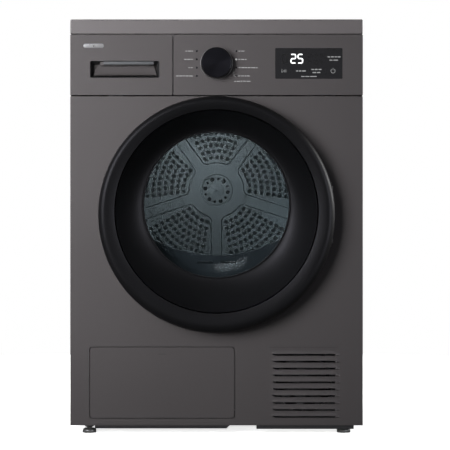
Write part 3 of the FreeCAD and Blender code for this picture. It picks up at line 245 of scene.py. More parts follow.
class Finish:
    # one procedural material
    def __init__(self, name):
        self.material = bpy.data.materials.new(name)
        self.material.use_nodes = True
        self.tree = self.material.node_tree
        self.tree.nodes.clear()
        self.place = self.node("ShaderNodeTexCoord", out="Object")

    def node(self, kind, settings=None, sockets=None, out=0):
        made = self.tree.nodes.new(kind)
        for key, value in (settings or {}).items():
            if key == "stops":
                while len(made.color_ramp.elements) < len(value):
                    made.color_ramp.elements.new(0.5)
                for stop, (spot, level) in zip(made.color_ramp.elements, value):
                    stop.position = spot
                    stop.color = (level, level, level, 1)
            else:
                setattr(made, key, value)
        for key, value in (sockets or {}).items():
            if isinstance(value, Wire):
                self.tree.links.new(value.socket, made.inputs[key])
            else:
                made.inputs[key].default_value = value
        return Wire(self, made.outputs[out])

    def noise(self, scale, detail=3, stretch=(1, 1, 1)):
        spot = self.node("ShaderNodeMapping", {}, {"Vector": self.place, "Scale": stretch})
        return self.node("ShaderNodeTexNoise", {}, {"Vector": spot, "Scale": scale, "Detail": detail})

    def cells(self, scale, stretch=(1, 1, 1), out="Distance"):
        spot = self.node("ShaderNodeMapping", {}, {"Vector": self.place, "Scale": stretch})
        return self.node("ShaderNodeTexVoronoi", {}, {"Vector": spot, "Scale": scale}, out=out)

    def ramp(self, value, stops):
        return self.node("ShaderNodeValToRGB", {"stops": stops}, {"Fac": value})

    def blend(self, mask, first, second):
        return self.node("ShaderNodeMix", {"data_type": "RGBA"}, {0: mask, 6: first, 7: second}, out=2)

    def bump(self, height, strength, distance):
        return self.node("ShaderNodeBump", {},
                         {"Height": height, "Strength": strength, "Distance": distance})

    def done(self, shader):
        end = self.tree.nodes.new("ShaderNodeOutputMaterial")
        self.tree.links.new(shader.socket, end.inputs["Surface"])
        return self.material

    def principled(self, **sockets):
        named = {key.replace("_", " "): value for key, value in sockets.items()}
        return self.node("ShaderNodeBsdfPrincipled", {}, named)


def rgb(r, g, b):
    return (r, g, b, 1.0)


# finishes

def paintedSheet(name, dark, light, metallic=0.45, roughness=0.4):
    # satin paint: slow drift of tone, fine flake, and the faint orange peel of a sprayed coat
    f = Finish(name)
    drift = f.noise(3.5, 2)
    flake = f.noise(2600, 1)
    peel = f.noise(420, 2)
    tone = f.blend(drift * 0.6 + flake * 0.4, dark, light)
    rough = roughness + (f.noise(60, 4) - 0.5) * 0.10 + (flake - 0.5) * 0.06
    return f.done(f.principled(
        Base_Color=tone, Metallic=metallic, Roughness=rough,
        Normal=f.bump(peel + flake * 0.4, 0.10, 0.05 * mm)))


def laminate(name, dark, light):
    # worktop skin: close speckle over a fine leathery grain
    f = Finish(name)
    grain = f.cells(900)
    speck = f.ramp(f.noise(1500, 2), [(0.42, 0), (0.62, 1)])
    tone = f.blend(speck * 0.7 + f.noise(9, 3) * 0.3, dark, light)
    return f.done(f.principled(
        Base_Color=tone, Roughness=0.46 + (f.noise(80, 3) - 0.5) * 0.12,
        Normal=f.bump(grain, 0.28, 0.08 * mm)))


def mouldedPlastic(name, dark, light, roughness=0.5, grain=1300, depth=0.25):
    # spark-eroded mould texture with slow sheen changes where the plastic cooled
    f = Finish(name)
    texture = f.noise(grain, 3)
    tone = f.blend(f.noise(22, 4) * 0.7 + texture * 0.3, dark, light)
    return f.done(f.principled(
        Base_Color=tone, Roughness=roughness + (f.noise(45, 3) - 0.5) * 0.16,
        Normal=f.bump(texture, depth, 0.06 * mm)))


def glossShell(name, dark, light, roughness, level):
    # polished moulding: a deep colour under a clear skin with faint wipe marks
    f = Finish(name)
    wipe = f.noise(14, 4, (1, 1, 3.5))
    tone = f.blend(f.noise(6, 2), dark, light)
    rough = roughness + (wipe - 0.5) * 0.10
    return f.done(f.principled(
        Base_Color=tone, Roughness=rough, Specular_IOR_Level=level,
        Normal=f.bump(f.noise(210, 2), 0.03, 0.05 * mm)))


def zincSheet(name):
    # hot dipped zinc: crystal spangle a centimetre across and rolling lines
    f = Finish(name)
    spangle = f.cells(95, out="Color")
    grey = f.node("ShaderNodeSeparateColor", {}, {0: spangle})
    lines = f.noise(60, 3, (1, 1, 16))
    tone = f.blend(grey * 0.6 + lines * 0.4, rgb(0.33, 0.335, 0.34), rgb(0.55, 0.56, 0.57))
    rough = 0.34 + grey * 0.16 + (f.noise(12, 3) - 0.5) * 0.1
    return f.done(f.principled(
        Base_Color=tone, Metallic=0.85, Roughness=rough,
        Normal=f.bump(grey + lines * 0.5, 0.08, 0.06 * mm)))


def rolledSteel(name, dark, light, roughness, stretch, metallic=0.9):
    # stainless sheet with fine rolling lines along one way and soft water marks
    f = Finish(name)
    lines = f.noise(260, 3, stretch)
    marks = f.noise(18, 4)
    tone = f.blend(lines * 0.55 + marks * 0.45, dark, light)
    rough = roughness + (lines - 0.5) * 0.14 + (marks - 0.5) * 0.10
    return f.done(f.principled(
        Base_Color=tone, Metallic=metallic, Roughness=rough,
        Normal=f.bump(lines, 0.12, 0.05 * mm)))


def turnedMetal(name, dark, light, metallic=1.0, roughness=0.25, pitch=2200):
    # lathe lines close together, a little dulled by handling
    f = Finish(name)
    lines = f.noise(pitch, 2, (0.3, 1, 1))
    tone = f.blend(f.noise(70, 4) * 0.6 + lines * 0.4, dark, light)
    return f.done(f.principled(
        Base_Color=tone, Metallic=metallic,
        Roughness=roughness + (f.noise(120, 3) - 0.5) * 0.2,
                               Normal=f.bump(lines, 0.15, 0.04 * mm)))


def spunCap(name, centre):
    # concentric tool lines: a sine of the distance from the axis, 0.45 mm apart
    f = Finish(name)
    spot = f.node("ShaderNodeMapping", {}, {"Vector": f.place, "Location": (-centre[0], 0, -centre[2]),
                                            "Scale": (1, 0, 1)})
    radius = f.node("ShaderNodeVectorMath", {"operation": "LENGTH"}, {0: spot}, out="Value")
    rings = f.node("ShaderNodeMath", {"operation": "SINE"}, {0: radius * (2 * np.pi / (0.45 * mm))})
    fine = f.node("ShaderNodeMath", {"operation": "SINE"}, {0: radius * (2 * np.pi / (1.3 * mm))})
    tone = f.blend(rings * 0.3 + fine * 0.2 + 0.5, rgb(0.005, 0.005, 0.0065), rgb(0.016, 0.016, 0.020))
    return f.done(f.principled(
        Base_Color=tone, Metallic=0.85, Roughness=0.28 + f.noise(40, 2) * 0.08,
        Anisotropic=0.6, Normal=f.bump(rings + fine * 0.5, 0.35, 0.06 * mm)))


def wool(name):
    # pressed felt: tangled fibres over soft lumps
    f = Finish(name)
    fibre = f.noise(900, 6, (1, 3, 1))
    tone = f.blend(fibre * 0.7 + f.noise(90, 3) * 0.3, rgb(0.10, 0.10, 0.10), rgb(0.30, 0.30, 0.29))
    return f.done(f.principled(
        Base_Color=tone, Roughness=0.95, Sheen_Weight=0.3,
        Normal=f.bump(fibre, 0.7, 0.4 * mm)))


def finStock(name):
    # thin aluminium fins, wavy with slightly bent edges
    f = Finish(name)
    wave = f.noise(34, 3, (9, 1, 1))
    tone = f.blend(wave, rgb(0.42, 0.43, 0.44), rgb(0.74, 0.75, 0.76))
    return f.done(f.principled(
        Base_Color=tone, Metallic=1.0, Roughness=0.32 + wave * 0.2,
        Normal=f.bump(wave, 0.3, 0.3 * mm)))


def copperTube(name):
    # drawn copper, browned in patches by brazing
    f = Finish(name)
    heat = f.ramp(f.noise(24, 4), [(0.38, 0), (0.66, 1)])
    tone = f.blend(heat, rgb(0.62, 0.27, 0.14), rgb(0.26, 0.11, 0.07))
    return f.done(f.principled(
        Base_Color=tone, Metallic=1.0, Roughness=0.26 + heat * 0.25,
        Normal=f.bump(f.noise(500, 2), 0.1, 0.05 * mm)))


def circuitBoard(name):
    # solder mask over etched tracks that run square to each other
    f = Finish(name)
    tracks = f.node("ShaderNodeTexBrick", {},
                    {"Vector": f.place, "Scale": 180.0, "Mortar Size": 0.06}, out="Fac")
    tone = f.blend(tracks * 0.8 + f.noise(300, 2) * 0.2, rgb(0.008, 0.05, 0.022), rgb(0.03, 0.16, 0.07))
    return f.done(f.principled(
        Base_Color=tone, Roughness=0.32 + tracks * 0.1,
        Normal=f.bump(tracks, 0.3, 0.1 * mm)))


def smokedGlass(name):
    # clear in the middle with a weak grey tint, glossy at a slant
    f = Finish(name)
    smear = f.noise(9, 4, (1, 1, 2))
    clear = f.node("ShaderNodeBsdfTransparent", {}, {"Color": rgb(0.64, 0.68, 0.70)})
    skin = f.principled(Base_Color=rgb(0.012, 0.015, 0.017), Roughness=0.10 + smear * 0.06,
                        Specular_IOR_Level=0.35)
    slant = f.node("ShaderNodeLayerWeight", {}, {"Blend": 0.30}, out="Facing")
    share = 0.07 + (slant ** 3) * 0.45 + (smear - 0.5) * 0.03
    return f.done(f.node("ShaderNodeMixShader", {}, {0: share, 1: clear, 2: skin}))


def displayGlass(name):
    # black window with a barely visible print of the dead segments' grid
    f = Finish(name)
    grid = f.noise(1600, 1)
    tone = f.blend(grid, rgb(0.006, 0.006, 0.007), rgb(0.012, 0.012, 0.013))
    return f.done(f.principled(
        Base_Color=tone, Roughness=0.09 + f.noise(20, 3) * 0.06, Coat_Weight=0.4,
        Normal=f.bump(f.noise(300, 2), 0.02, 0.05 * mm)))


def litInk(name, strength, base=0.3):
    # a lamp behind a diffusing film, so its glow wavers slightly
    f = Finish(name)
    glow = f.blend(f.noise(700, 2), rgb(0.86, 0.90, 0.92), rgb(1.0, 1.0, 1.0))
    return f.done(f.principled(
        Base_Color=rgb(base, base, base), Roughness=0.4, Emission_Color=glow,
        Emission_Strength=strength))


def printedInk(name, level):
    # screen print with a faint dot texture
    f = Finish(name)
    dots = f.noise(3000, 1)
    tone = f.blend(dots, rgb(level * 0.85, level * 0.85, level * 0.85), rgb(level, level, level * 1.01))
    return f.done(f.principled(
        Base_Color=tone, Roughness=0.55 + dots * 0.1,
        Normal=f.bump(dots, 0.1, 0.02 * mm)))


def paleFloor(name):
    # near white, lit by itself a little so that it stays even round the feet
    f = Finish(name)
    tone = f.blend(f.noise(2, 3), rgb(0.86, 0.86, 0.86), rgb(0.90, 0.90, 0.90))
    return f.done(f.principled(
        Base_Color=tone, Roughness=0.7 + f.noise(30, 2) * 0.1,
        Specular_IOR_Level=0.1, Emission_Color=rgb(1, 1, 1), Emission_Strength=0.80))


knobLow, knobHigh = boxOf("program_knob")
knobMiddle = (knobLow + knobHigh) / 2

finishRows = {
    "body_grey": (paintedSheet, rgb(0.054, 0.0495, 0.0507), rgb(0.070, 0.0643, 0.0657)),
    "worktop_grey": (laminate, rgb(0.048, 0.0437, 0.0452), rgb(0.076, 0.0693, 0.0712)),
    "console_grey": (paintedSheet, rgb(0.055, 0.0505, 0.0517), rgb(0.071, 0.0653, 0.0667)),
    "door_black": (glossShell, rgb(0.0013, 0.0013, 0.0015), rgb(0.0024, 0.0024, 0.0028), 0.46, 0.34),
    "door_glass": (smokedGlass,),
    "display_black": (displayGlass,),
    "knob_black": (glossShell, rgb(0.0015, 0.0015, 0.0018), rgb(0.003, 0.003, 0.0035), 0.24, 0.30),
    "black_plastic": (mouldedPlastic, rgb(0.010, 0.010, 0.011), rgb(0.020, 0.020, 0.021)),
    "dark_grey_plastic": (mouldedPlastic, rgb(0.030, 0.032, 0.035), rgb(0.050, 0.053, 0.057), 0.42),
    "pale_plastic": (mouldedPlastic, rgb(0.19, 0.196, 0.196), rgb(0.25, 0.256, 0.256), 0.4, 900, 0.12),
    "galvanised": (zincSheet,),
    "drum_steel": (rolledSteel, rgb(0.30, 0.33, 0.34), rgb(0.50, 0.54, 0.55), 0.34, (1, 12, 1)),
    "drum_back_grey": (rolledSteel, rgb(0.20, 0.225, 0.235), rgb(0.30, 0.335, 0.345), 0.5,
                       (1, 1, 10), 0.35),
    "turned_steel": (turnedMetal, rgb(0.45, 0.45, 0.45), rgb(0.66, 0.66, 0.66)),
    "foot_metal": (turnedMetal, rgb(0.22, 0.22, 0.22), rgb(0.42, 0.42, 0.41), 0.9, 0.36, 900),
    "felt": (wool,),
    "rubber": (mouldedPlastic, rgb(0.016, 0.016, 0.016), rgb(0.034, 0.034, 0.034), 0.75, 700, 0.35),
    "motor_dark": (mouldedPlastic, rgb(0.02, 0.02, 0.022), rgb(0.05, 0.05, 0.054), 0.34, 260, 0.2),
    "fin_aluminium": (finStock,),
    "copper_tube": (copperTube,),
    "board_green": (circuitBoard,),
}
finishOf = {slot: make(slot + "_finish", *values) for slot, (make, *values) in finishRows.items()}
# painted shade: the louvres behind the slots are near black, darker than the black plastic, so the slots read
# as deep shade
ventShadeFinish = mouldedPlastic("vent_finish", rgb(0.0015, 0.0015, 0.0016), rgb(0.003, 0.003, 0.0032))
# painted shade: a darker copy of the body paint for the thin strip above the slots, standing for the shadow
# of the crease there
creaseShadeFinish = paintedSheet("crease_finish", rgb(0.030, 0.027, 0.028), rgb(0.038, 0.035, 0.036))
lensFinish = litInk("lamp_lens_finish", 0.30, 0.12)
brightInk = litInk("bright_ink_finish", 1.35)
dimInk = litInk("dim_ink_finish", 0.0015, 0.004)
softInk = litInk("soft_ink_finish", 0.20, 0.06)
labelInk = printedInk("label_ink_finish", 0.18)
badgeInk = turnedMetal("badge_finish", rgb(0.55, 0.55, 0.56), rgb(0.78, 0.78, 0.79), 0.9, 0.3, 1800)
capFinish = spunCap("knob_cap_finish", knobMiddle)

bodyOf = {}
for bodyName, members in frame["record"]["behaviour"]["bodies"].items():
    for member in members:
        bodyOf[member] = bodyName
slotOf = {row["node"]: row["material_slot"] for row in frame["record"]["subparts"]}
for node, piece in frame["nodes"].items():
    piece.data.materials.clear()
    piece.data.materials.append(finishOf[slotOf[node]])
# the louvres behind the slots take the near-black painted shade
frame["nodes"]["vent_louvres"].data.materials[0] = ventShadeFinish
print("finishes laid on the packed nodes")

# nodes whose turned faces show are welded copies
roundNodes = ["drum_shell", "front_bulkhead", "door_inner_frame", "door_seal", "drain_spigot",
              "power_inlet", "foot_front_left", "foot_front_right", "foot_rear_left", "foot_rear_right",
              "hinge_pin", "drum_front_felt", "rear_screws"]
for node in roundNodes:
    smoothCopy(node)
print("welded copies made")


# door

ringLow, ringHigh = boxOf("door_outer_ring")
bowlLow, bowlHigh = boxOf("door_bowl_trim")
glassLow, glassHigh = boxOf("door_glass")
frameLow = np.array(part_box("door_inner_frame")[0])
pinLow, pinHigh = boxOf("hinge_pin")

doorRing = {
    "centre": (ringLow[2] + ringHigh[2]) / 2,
    "radius": (ringHigh[2] - ringLow[2]) / 2,
    "crest": ringLow[1],
    "back": frameLow[1] - 0.4 * mm,
    "grooveCentre": (bowlLow[2] + bowlHigh[2]) / 2,
    "grooveRadius": (bowlHigh[2] - bowlLow[2]) / 2 + 1.5 * mm,
    "steps": 288,
    "rows": 26,
    "shoulder": 0.40,
    "shoulderFall": 18 * mm,
    "dip": 5 * mm,
    "dipPower": 1.7,
    "lip": 1.6 * mm,
}


def ringSection(share):
    # how far the skin lies behind the crest, for a share 0 (outer edge) to 1 (groove):
    # a quarter-round shoulder, a flat crown, then a slow fall to the groove
    d = doorRing
    outer = np.clip(1 - share / d["shoulder"], 0, 1)
    inner = np.clip((share - d["shoulder"]) / (1 - d["shoulder"]), 0, 1)
    fall = d["shoulderFall"] * (1 - np.sqrt(np.clip(1 - outer ** 2, 0, 1)))
    return fall + d["dip"] * inner ** d["dipPower"]


def makeDoorRing():
    # the skin runs from the outer circle to the off-centre groove circle: P = A(a) + share (B(a) - A(a));
    # rows crowd at both edges, share = 0.985 (1 - cos t) / 2
    d = doorRing
    share = (1 - np.cos(np.linspace(0, np.pi, d["rows"]))) / 2 * 0.985
    share[1:10] = share[1:10] * 0.9
    angle = circle(d["steps"])[:, None]
    across = np.concatenate([[0, 0], share, [0.995, 1.0, 1.0, 0.95]])[None, :]
    skin = d["crest"] + ringSection(share)
    lip = skin[-1] + d["lip"]
    foot = [skin[-1] + 0.4 * mm, lip, d["back"], d["back"]]
    depth = np.concatenate([[d["back"], skin[0] + 1 * mm], skin, foot])
    outerX, outerZ = d["radius"] * np.cos(angle), d["centre"] + d["radius"] * np.sin(angle)
    innerX = d["grooveRadius"] * np.cos(angle)
    innerZ = d["grooveCentre"] + d["grooveRadius"] * np.sin(angle)
    x = outerX + across * (innerX - outerX)
    z = outerZ + across * (innerZ - outerZ)
    points = np.stack([x, depth[None, :] + 0 * x, z], -1).reshape(-1, 3)
    return points, wrapFaces(d["steps"], across.shape[1])


notch = {"reach": 31 * mm, "room": 8.5 * mm, "half": 5.4 * mm, "spread": 54 * mm, "from": 108, "to": -52}


def hingeNotch(z):
    # the fan that a hinge arm sweeps about the pin, as a flat wedge closed by a small arc round the pin
    pinX, pinY = (pinLow[:2] + pinHigh[:2]) / 2
    fan = np.radians(np.linspace(notch["from"], notch["to"], 20))
    rest = np.radians(np.linspace(notch["to"], notch["from"] - 360, 14)[1:-1])
    turns = np.concatenate([fan, rest])
    size = np.concatenate([np.full(len(fan), notch["reach"]), np.full(len(rest), notch["room"])])
    flat = np.stack([pinX + size * np.cos(turns), pinY + size * np.sin(turns)], -1)
    loops = [np.column_stack([flat, np.full(len(flat), z + s * notch["half"])]) for s in (-1, 1)]
    return stacked(np.array(loops))


def cutAway(piece, shapes):
    # takes closed shapes out of a piece for good
    points, faces = merged(shapes)
    mesh = bpy.data.meshes.new("cutter")
    mesh.from_pydata(points.tolist(), [], faces)
    reworked(mesh, weld=False)
    cutter = placed(bpy.data.objects.new("cutter", mesh))
    step = piece.modifiers.new("cut", "BOOLEAN")
    step.operation, step.solver, step.object = "DIFFERENCE", "EXACT", cutter
    graph = bpy.context.evaluated_depsgraph_get()
    result = bpy.data.meshes.new_from_object(piece.evaluated_get(graph))
    piece.modifiers.clear()
    piece.data = result
    result.set_sharp_from_angle(angle=np.radians(35))
    bpy.data.objects.remove(cutter)


bowl = {"rows": 28, "steps": 256, "ease": 1.5, "glassLap": 10 * mm, "inset": 0.6 * mm}


def makeDoorBowl():
    # circles from the groove in to the glass, each with its own centre, steep at the rim and easing
    # inwards: y = rim + drop (1 - (1 - t)^1.5)
    wide, deep = (bowlHigh[2] - bowlLow[2]) / 2, bowlHigh[1] - 0.3 * mm
    small = (glassHigh[2] - glassLow[2]) / 2 - bowl["glassLap"]
    groundZ, glassZ = (bowlLow[2] + bowlHigh[2]) / 2, (glassLow[2] + glassHigh[2]) / 2
    rim = bowlLow[1] + bowl["inset"]
    t = np.linspace(0, 1, bowl["rows"])
    frontR = (wide - bowl["inset"]) + (small - wide) * t
    frontY = rim + (deep - rim) * (1 - (1 - t) ** bowl["ease"])
    backR = frontR[::-1] + np.linspace(4.0, 1.2, bowl["rows"]) * mm
    backY = frontY[::-1] + np.linspace(0.2, 3.0, bowl["rows"]) * mm
    backR[-4:] = np.minimum(backR[-4:], wide)
    share = np.concatenate([t, t[::-1]])
    r, y = np.concatenate([frontR, backR]), np.concatenate([frontY, np.minimum(backY, bowlHigh[1])])
    angle = circle(bowl["steps"])[:, None]
    z = (groundZ + (glassZ - groundZ) * share)[None, :] + r[None, :] * np.sin(angle)
    points = np.stack([r[None, :] * np.cos(angle), y[None, :] + 0 * z, z], -1).reshape(-1, 3)
    return points, wrapFaces(bowl["steps"], len(r))


glass = {"thick": 4 * mm, "flat": 60 * mm, "soft": 7 * mm, "steps": 192}


def makeGlass():
    # a flat flange, a slanting wall and a flat middle of one thickness
    low, high = glassLow[1], glassHigh[1]
    r = (glassHigh[2] - glassLow[2]) / 2
    t, flat = glass["thick"], glass["flat"]
    section = [(r, low), (r, low + t), (r - 15 * mm, low + t), (r - 38 * mm, high - 5 * mm),
               (r - 46 * mm, high - 1.2 * mm), (flat, high), (0, high), (0, high - t), (flat, high - t),
               (r - 48 * mm, high - t - 1.2 * mm), (r - 42 * mm, high - t - 5 * mm), (r - 19 * mm, low)]
    return turned(softCorners(section, glass["soft"], 6), 0, (glassLow[2] + glassHigh[2]) / 2, glass["steps"])


ring = addPiece("door_ring", makeDoorRing(), "door", "door_black", replaces=("door_outer_ring",))
cutAway(ring, [hingeNotch(doorRing["centre"] + side * notch["spread"]) for side in (-1, 1)])
addPiece("door_bowl", makeDoorBowl(), "door", "door_black", replaces=("door_bowl_trim",))
addPiece("door_window", makeGlass(), "door", "door_glass", replaces=("door_glass",))

bezel = {"inner": 148.6 * mm, "outer": 152.6 * mm, "proud": 1.4 * mm}
glassZ = (glassLow[2] + glassHigh[2]) / 2
bezelFoot, bezelTop = glassLow[1] + 0.1 * mm, glassLow[1] - bezel["proud"]
bezelSection = [(bezel["inner"], bezelFoot), (bezel["inner"] + 0.6 * mm, bezelTop),
                (bezel["outer"] - 0.4 * mm, bezelTop), (bezel["outer"], bezelFoot)]
bezelShape = turned(softCorners(bezelSection, 0.8 * mm, 4), 0, glassZ, glass["steps"])
addPiece("glass_bezel", bezelShape, "door", "black_plastic", finishOf["door_black"])

doorScrews = {"count": 8, "radius": 214 * mm, "head": 4.2 * mm, "proud": 1.6 * mm, "seat": 2.9 * mm,
              "firstTurn": 22.5}


def screwHead(x, z, back, radius, proud):
    # a domed head with a shallow driver recess
    section = [(0, back), (radius, back), (radius * 0.96, back + proud * 0.4),
               (radius * 0.62, back + proud), (radius * 0.34, back + proud),
               (radius * 0.26, back + proud * 0.35), (0, back + proud * 0.3)]
    return turned(softCorners(section, radius * 0.12, 3), x, z, 20)


screwTurns = np.radians(np.arange(doorScrews["count"]) * 360 / doorScrews["count"] + doorScrews["firstTurn"])
heads = [screwHead(doorScrews["radius"] * np.cos(a), doorRing["centre"] + doorScrews["radius"] * np.sin(a),
                   frameLow[1] + doorScrews["seat"], doorScrews["head"], doorScrews["proud"])
         for a in screwTurns]
addPiece("door_screws", merged(heads), "door", "turned_steel")
print("door made")


# knob, lamps and printed marks

face = np.array(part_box("front_panel")[0])[1]
knobX, knobZ = knobMiddle[0], knobMiddle[2]
knob = {"radius": (knobHigh[0] - knobLow[0]) / 2, "tip": knobLow[1], "back": face - 0.3 * mm,
        "steps": 160, "dish": 0.7 * mm, "stem": 8 * mm, "shaft": 3 * mm}


def makeKnobSkirt():
    # a nearly straight side with a small raised round at the tip
    r, tip, back = knob["radius"], knob["tip"], knob["back"]
    section = [(r - 2.4 * mm, tip + 0.9 * mm), (r - 1.2 * mm, tip + 0.05 * mm),
               (r - 0.35 * mm, tip + 1.0 * mm), (r - 0.1 * mm, tip + 4 * mm), (r, back - 2 * mm),
               (r, back), (r - 3 * mm, back), (r - 3 * mm, tip + 3 * mm)]
    return turned(softCorners(section, 0.8 * mm, 5), knobX, knobZ, knob["steps"])


def makeKnobCap():
    # a shallow dish: y = tip + 1 mm - dish t^2, so the middle lies behind the rim
    r, tip = knob["radius"] - 1.9 * mm, knob["tip"]
    t = np.linspace(0, 1, 14)
    front = np.stack([r * t, tip + 1.0 * mm - knob["dish"] * t ** 2], -1)
    back = np.array([(r, tip + 3.2 * mm), (0, tip + 3.2 * mm)])
    return turned(np.concatenate([front, back]), knobX, knobZ, knob["steps"])


def makeKnobStem():
    low, high = knob["tip"] + 3 * mm, knobHigh[1]
    stem, shaft, back = knob["stem"], knob["shaft"], knob["back"]
    section = [(0, low), (stem, low), (stem, back), (shaft, back), (shaft, high), (0, high)]
    return turned(softCorners(section, 0.5 * mm, 3), knobX, knobZ, 48)


addPiece("knob_skirt", makeKnobSkirt(), "knob", "knob_black", replaces=("program_knob",))
addPiece("knob_cap", makeKnobCap(), "knob", "knob_black", capFinish)
addPiece("knob_stem", makeKnobStem(), "knob", "black_plastic")

collar = {"inner": 32.0 * mm, "outer": 33.5 * mm, "proud": 1.15 * mm}
collarSection = [(collar["inner"], face + 0.2 * mm), (collar["inner"] + 0.2 * mm, face - collar["proud"]),
                 (collar["outer"] - 0.3 * mm, face - collar["proud"]), (collar["outer"], face + 0.2 * mm)]
collarShape = turned(softCorners(collarSection, 0.3 * mm, 4), knobX, knobZ, knob["steps"])
addPiece("knob_collar", collarShape, "cabinet", "turned_steel", finishOf["foot_metal"])

lamps = {"x": 40.5 * mm, "top": 25 * mm, "pitch": 17 * mm, "radius": 1.95 * mm, "rows": 4, "lit": (1, 1)}


def lampLens(x, z):
    # a short stud with a low domed end
    r = lamps["radius"]
    section = [(0, face + 2.5 * mm), (r, face + 2.5 * mm), (r, face + 0.1 * mm),
               (r * 0.8, face - 0.25 * mm), (r * 0.4, face - 0.4 * mm), (0, face - 0.45 * mm)]
    return turned(softCorners(section, 0.2 * mm, 3), x, z, 24)


dark, lit = [], []
for column, side in enumerate((-1, 1)):
    for row in range(lamps["rows"]):
        lens = lampLens(knobX + side * lamps["x"], knobZ + lamps["top"] - row * lamps["pitch"])
        (lit if (column, row) == lamps["lit"] else dark).append(lens)
addPiece("lamp_lenses", merged(dark), "cabinet", "display_black")
addPiece("lamp_lens_lit", merged(lit), "cabinet", "pale_plastic", lensFinish)

labels = {
    "rowTall": 1.8 * mm,
    "underTall": 1.6 * mm,
    "pieceWide": 6.5,
    "gaps": (0.25, 0.55),
    "bracketWidth": 0.7 * mm,
    "left": (-47.7, (-64.1, -66.5, -57.9, -82.9)),
    "right": (44.2, (58.1, 62.2, 85.0, 68.4)),
    "under": (35.4, 70.0, 722.7 - 759.6),
}


def bar(x0, x1, z, tall, front):
    ends = [(x0 * mm + knobX, z), (x1 * mm + knobX, z)]
    return ribbon(np.linspace(ends[0], ends[1], 6), tall, front)


def wordBars(x0, x1, z, tall, front):
    # a printed word stands as short bars of uneven length with gaps, as blind text
    span = abs(x1 - x0)
    pieces = max(2, int(round(span / labels["pieceWide"])))
    shares = np.array([3.1, 4.3, 2.6, 3.8, 4.9, 2.9, 3.5, 4.1])[:pieces]
    edges = np.concatenate([[0], np.cumsum(shares / shares.sum())]) * span + min(x0, x1)
    before, after = labels["gaps"]
    return [bar(a + before, b - after, z, tall, front) for a, b in zip(edges, edges[1:])]


inkFront = face - 0.08 * mm
words = []
for row in range(lamps["rows"]):
    z = knobZ + lamps["top"] - row * lamps["pitch"]
    for near, far in (labels["left"], labels["right"]):
        words += wordBars(near, far[row], z, labels["rowTall"], inkFront)
underFrom, underTo, underDrop = labels["under"]
words += wordBars(underFrom, underTo, knobZ + underDrop * mm, labels["underTall"], inkFront)
bracket = [(35.5 * mm, knobZ - 11 * mm), (35.5 * mm, knobZ - 26.5 * mm), (38 * mm, knobZ - 26.5 * mm)]
words.append(ribbon(softCorners(bracket, 1 * mm, 4, closed=False), labels["bracketWidth"], inkFront))
addPiece("console_print", merged(words), "cabinet", "pale_plastic", labelInk)
print("knob and console print made")


# display

screenLow, screenHigh = boxOf("display_window")
screen = {"x": (screenLow[0] + screenHigh[0]) / 2, "z": (screenLow[2] + screenHigh[2]) / 2,
          "front": screenLow[1] - 0.06 * mm, "origin": (189.3, 759.3), "rowZ": 743.9}
digits = {
    "wide": 9.2 * mm,
    "tall": 17.6 * mm,
    "soft": 3.2 * mm,
    "z": 760.2,
    "two": [(0, 1), (1, 1), (1, 0.5), (0, 0.5), (0, 0), (1, 0)],
    "five": [(1, 1), (0, 1), (0, 0.52), (1, 0.52), (1, 0), (0, 0)],
    "ghost": [(0, 0), (0, 1), (1, 1), (1, 0), (0, 0.02)],
}


def offset(x, z):
    # from the display's own millimetres, whose middle is `origin`, to the frame
    return (screen["x"] + (x - screen["origin"][0]) * mm, screen["z"] + (z - screen["origin"][1]) * mm)


def digit(shape, left, width):
    path = np.array(digits[shape], float) * (digits["wide"], digits["tall"]) + offset(left, digits["z"])
    return ribbon(softCorners(path, digits["soft"], 6, closed=False), width, screen["front"])


def screenBar(x0, x1, z, tall):
    return ribbon(np.linspace(offset(x0, z), offset(x1, z), 6), tall * mm, screen["front"])


bright = [digit(shape, left, 2.5 * mm) for shape, left in (("two", 152.9), ("five", 167.2))]
soft = [screenBar(*row) for row in (
    (162.7, 167.6, 743.9, 2.6), (168.6, 174.0, 743.9, 2.6), (175.2, 183.2, 743.9, 2.6),
    (194.2, 200.0, 746.9, 2.4), (201.0, 207.5, 746.9, 2.4), (208.6, 215.4, 746.9, 2.4),
    (196.6, 204.4, 740.6, 2.4), (205.6, 213.0, 740.6, 2.4),
    (227.4, 233.0, 772.8, 2.4), (234.2, 241.0, 772.8, 2.4), (242.2, 246.8, 772.8, 2.4),
    (248.0, 254.4, 772.8, 2.4),
    (231.2, 238.0, 766.0, 2.2), (239.2, 249.4, 766.0, 2.2),
    (173.4, 180.6, 732.5, 1.9), (181.8, 190.4, 732.5, 1.9), (191.6, 205.6, 732.5, 1.9))]
powerX, powerZ = offset(238.8, screen["rowZ"])
soft.append(ribbon(arcPath(powerX, powerZ, 4.3 * mm, 125, 415), 1.1 * mm, screen["front"]))
soft.append(ribbon([(powerX, powerZ + 1.5 * mm), (powerX, powerZ + 6 * mm)], 1.1 * mm, screen["front"]))
playX, playZ = offset(133.6, screen["rowZ"])
triangle = [(playX, playZ - 3.2 * mm), (playX, playZ + 3.2 * mm), (playX + 4.6 * mm, playZ),
            (playX, playZ - 3.1 * mm)]
soft.append(ribbon(triangle, 1.0 * mm, screen["front"]))
for gap in (6.2, 8.6):
    soft.append(ribbon([(playX + gap * mm, playZ - 3 * mm), (playX + gap * mm, playZ + 3 * mm)], 1.0 * mm,
                       screen["front"]))
ghosts = [digit("ghost", 135, 2.2 * mm)]
for column in (191.4, 204.3, 216.6):
    for line in (775.5, 762.9):
        gx, gz = offset(column, line)
        ghosts.append(ribbon(arcPath(gx, gz, 3.0 * mm, 0, 358), 1.2 * mm, screen["front"]))
for divider in (154.7, 188.7, 222.7):
    dx, dz = offset(divider, screen["rowZ"])
    ghosts.append(ribbon([(dx, dz - 4.5 * mm), (dx, dz + 4.5 * mm)], 0.5 * mm, screen["front"]))
ghosts.append(screenBar(228.7, 240.5, 787.0, 1.6))
ghosts.append(screenBar(242.0, 255.3, 787.0, 1.6))
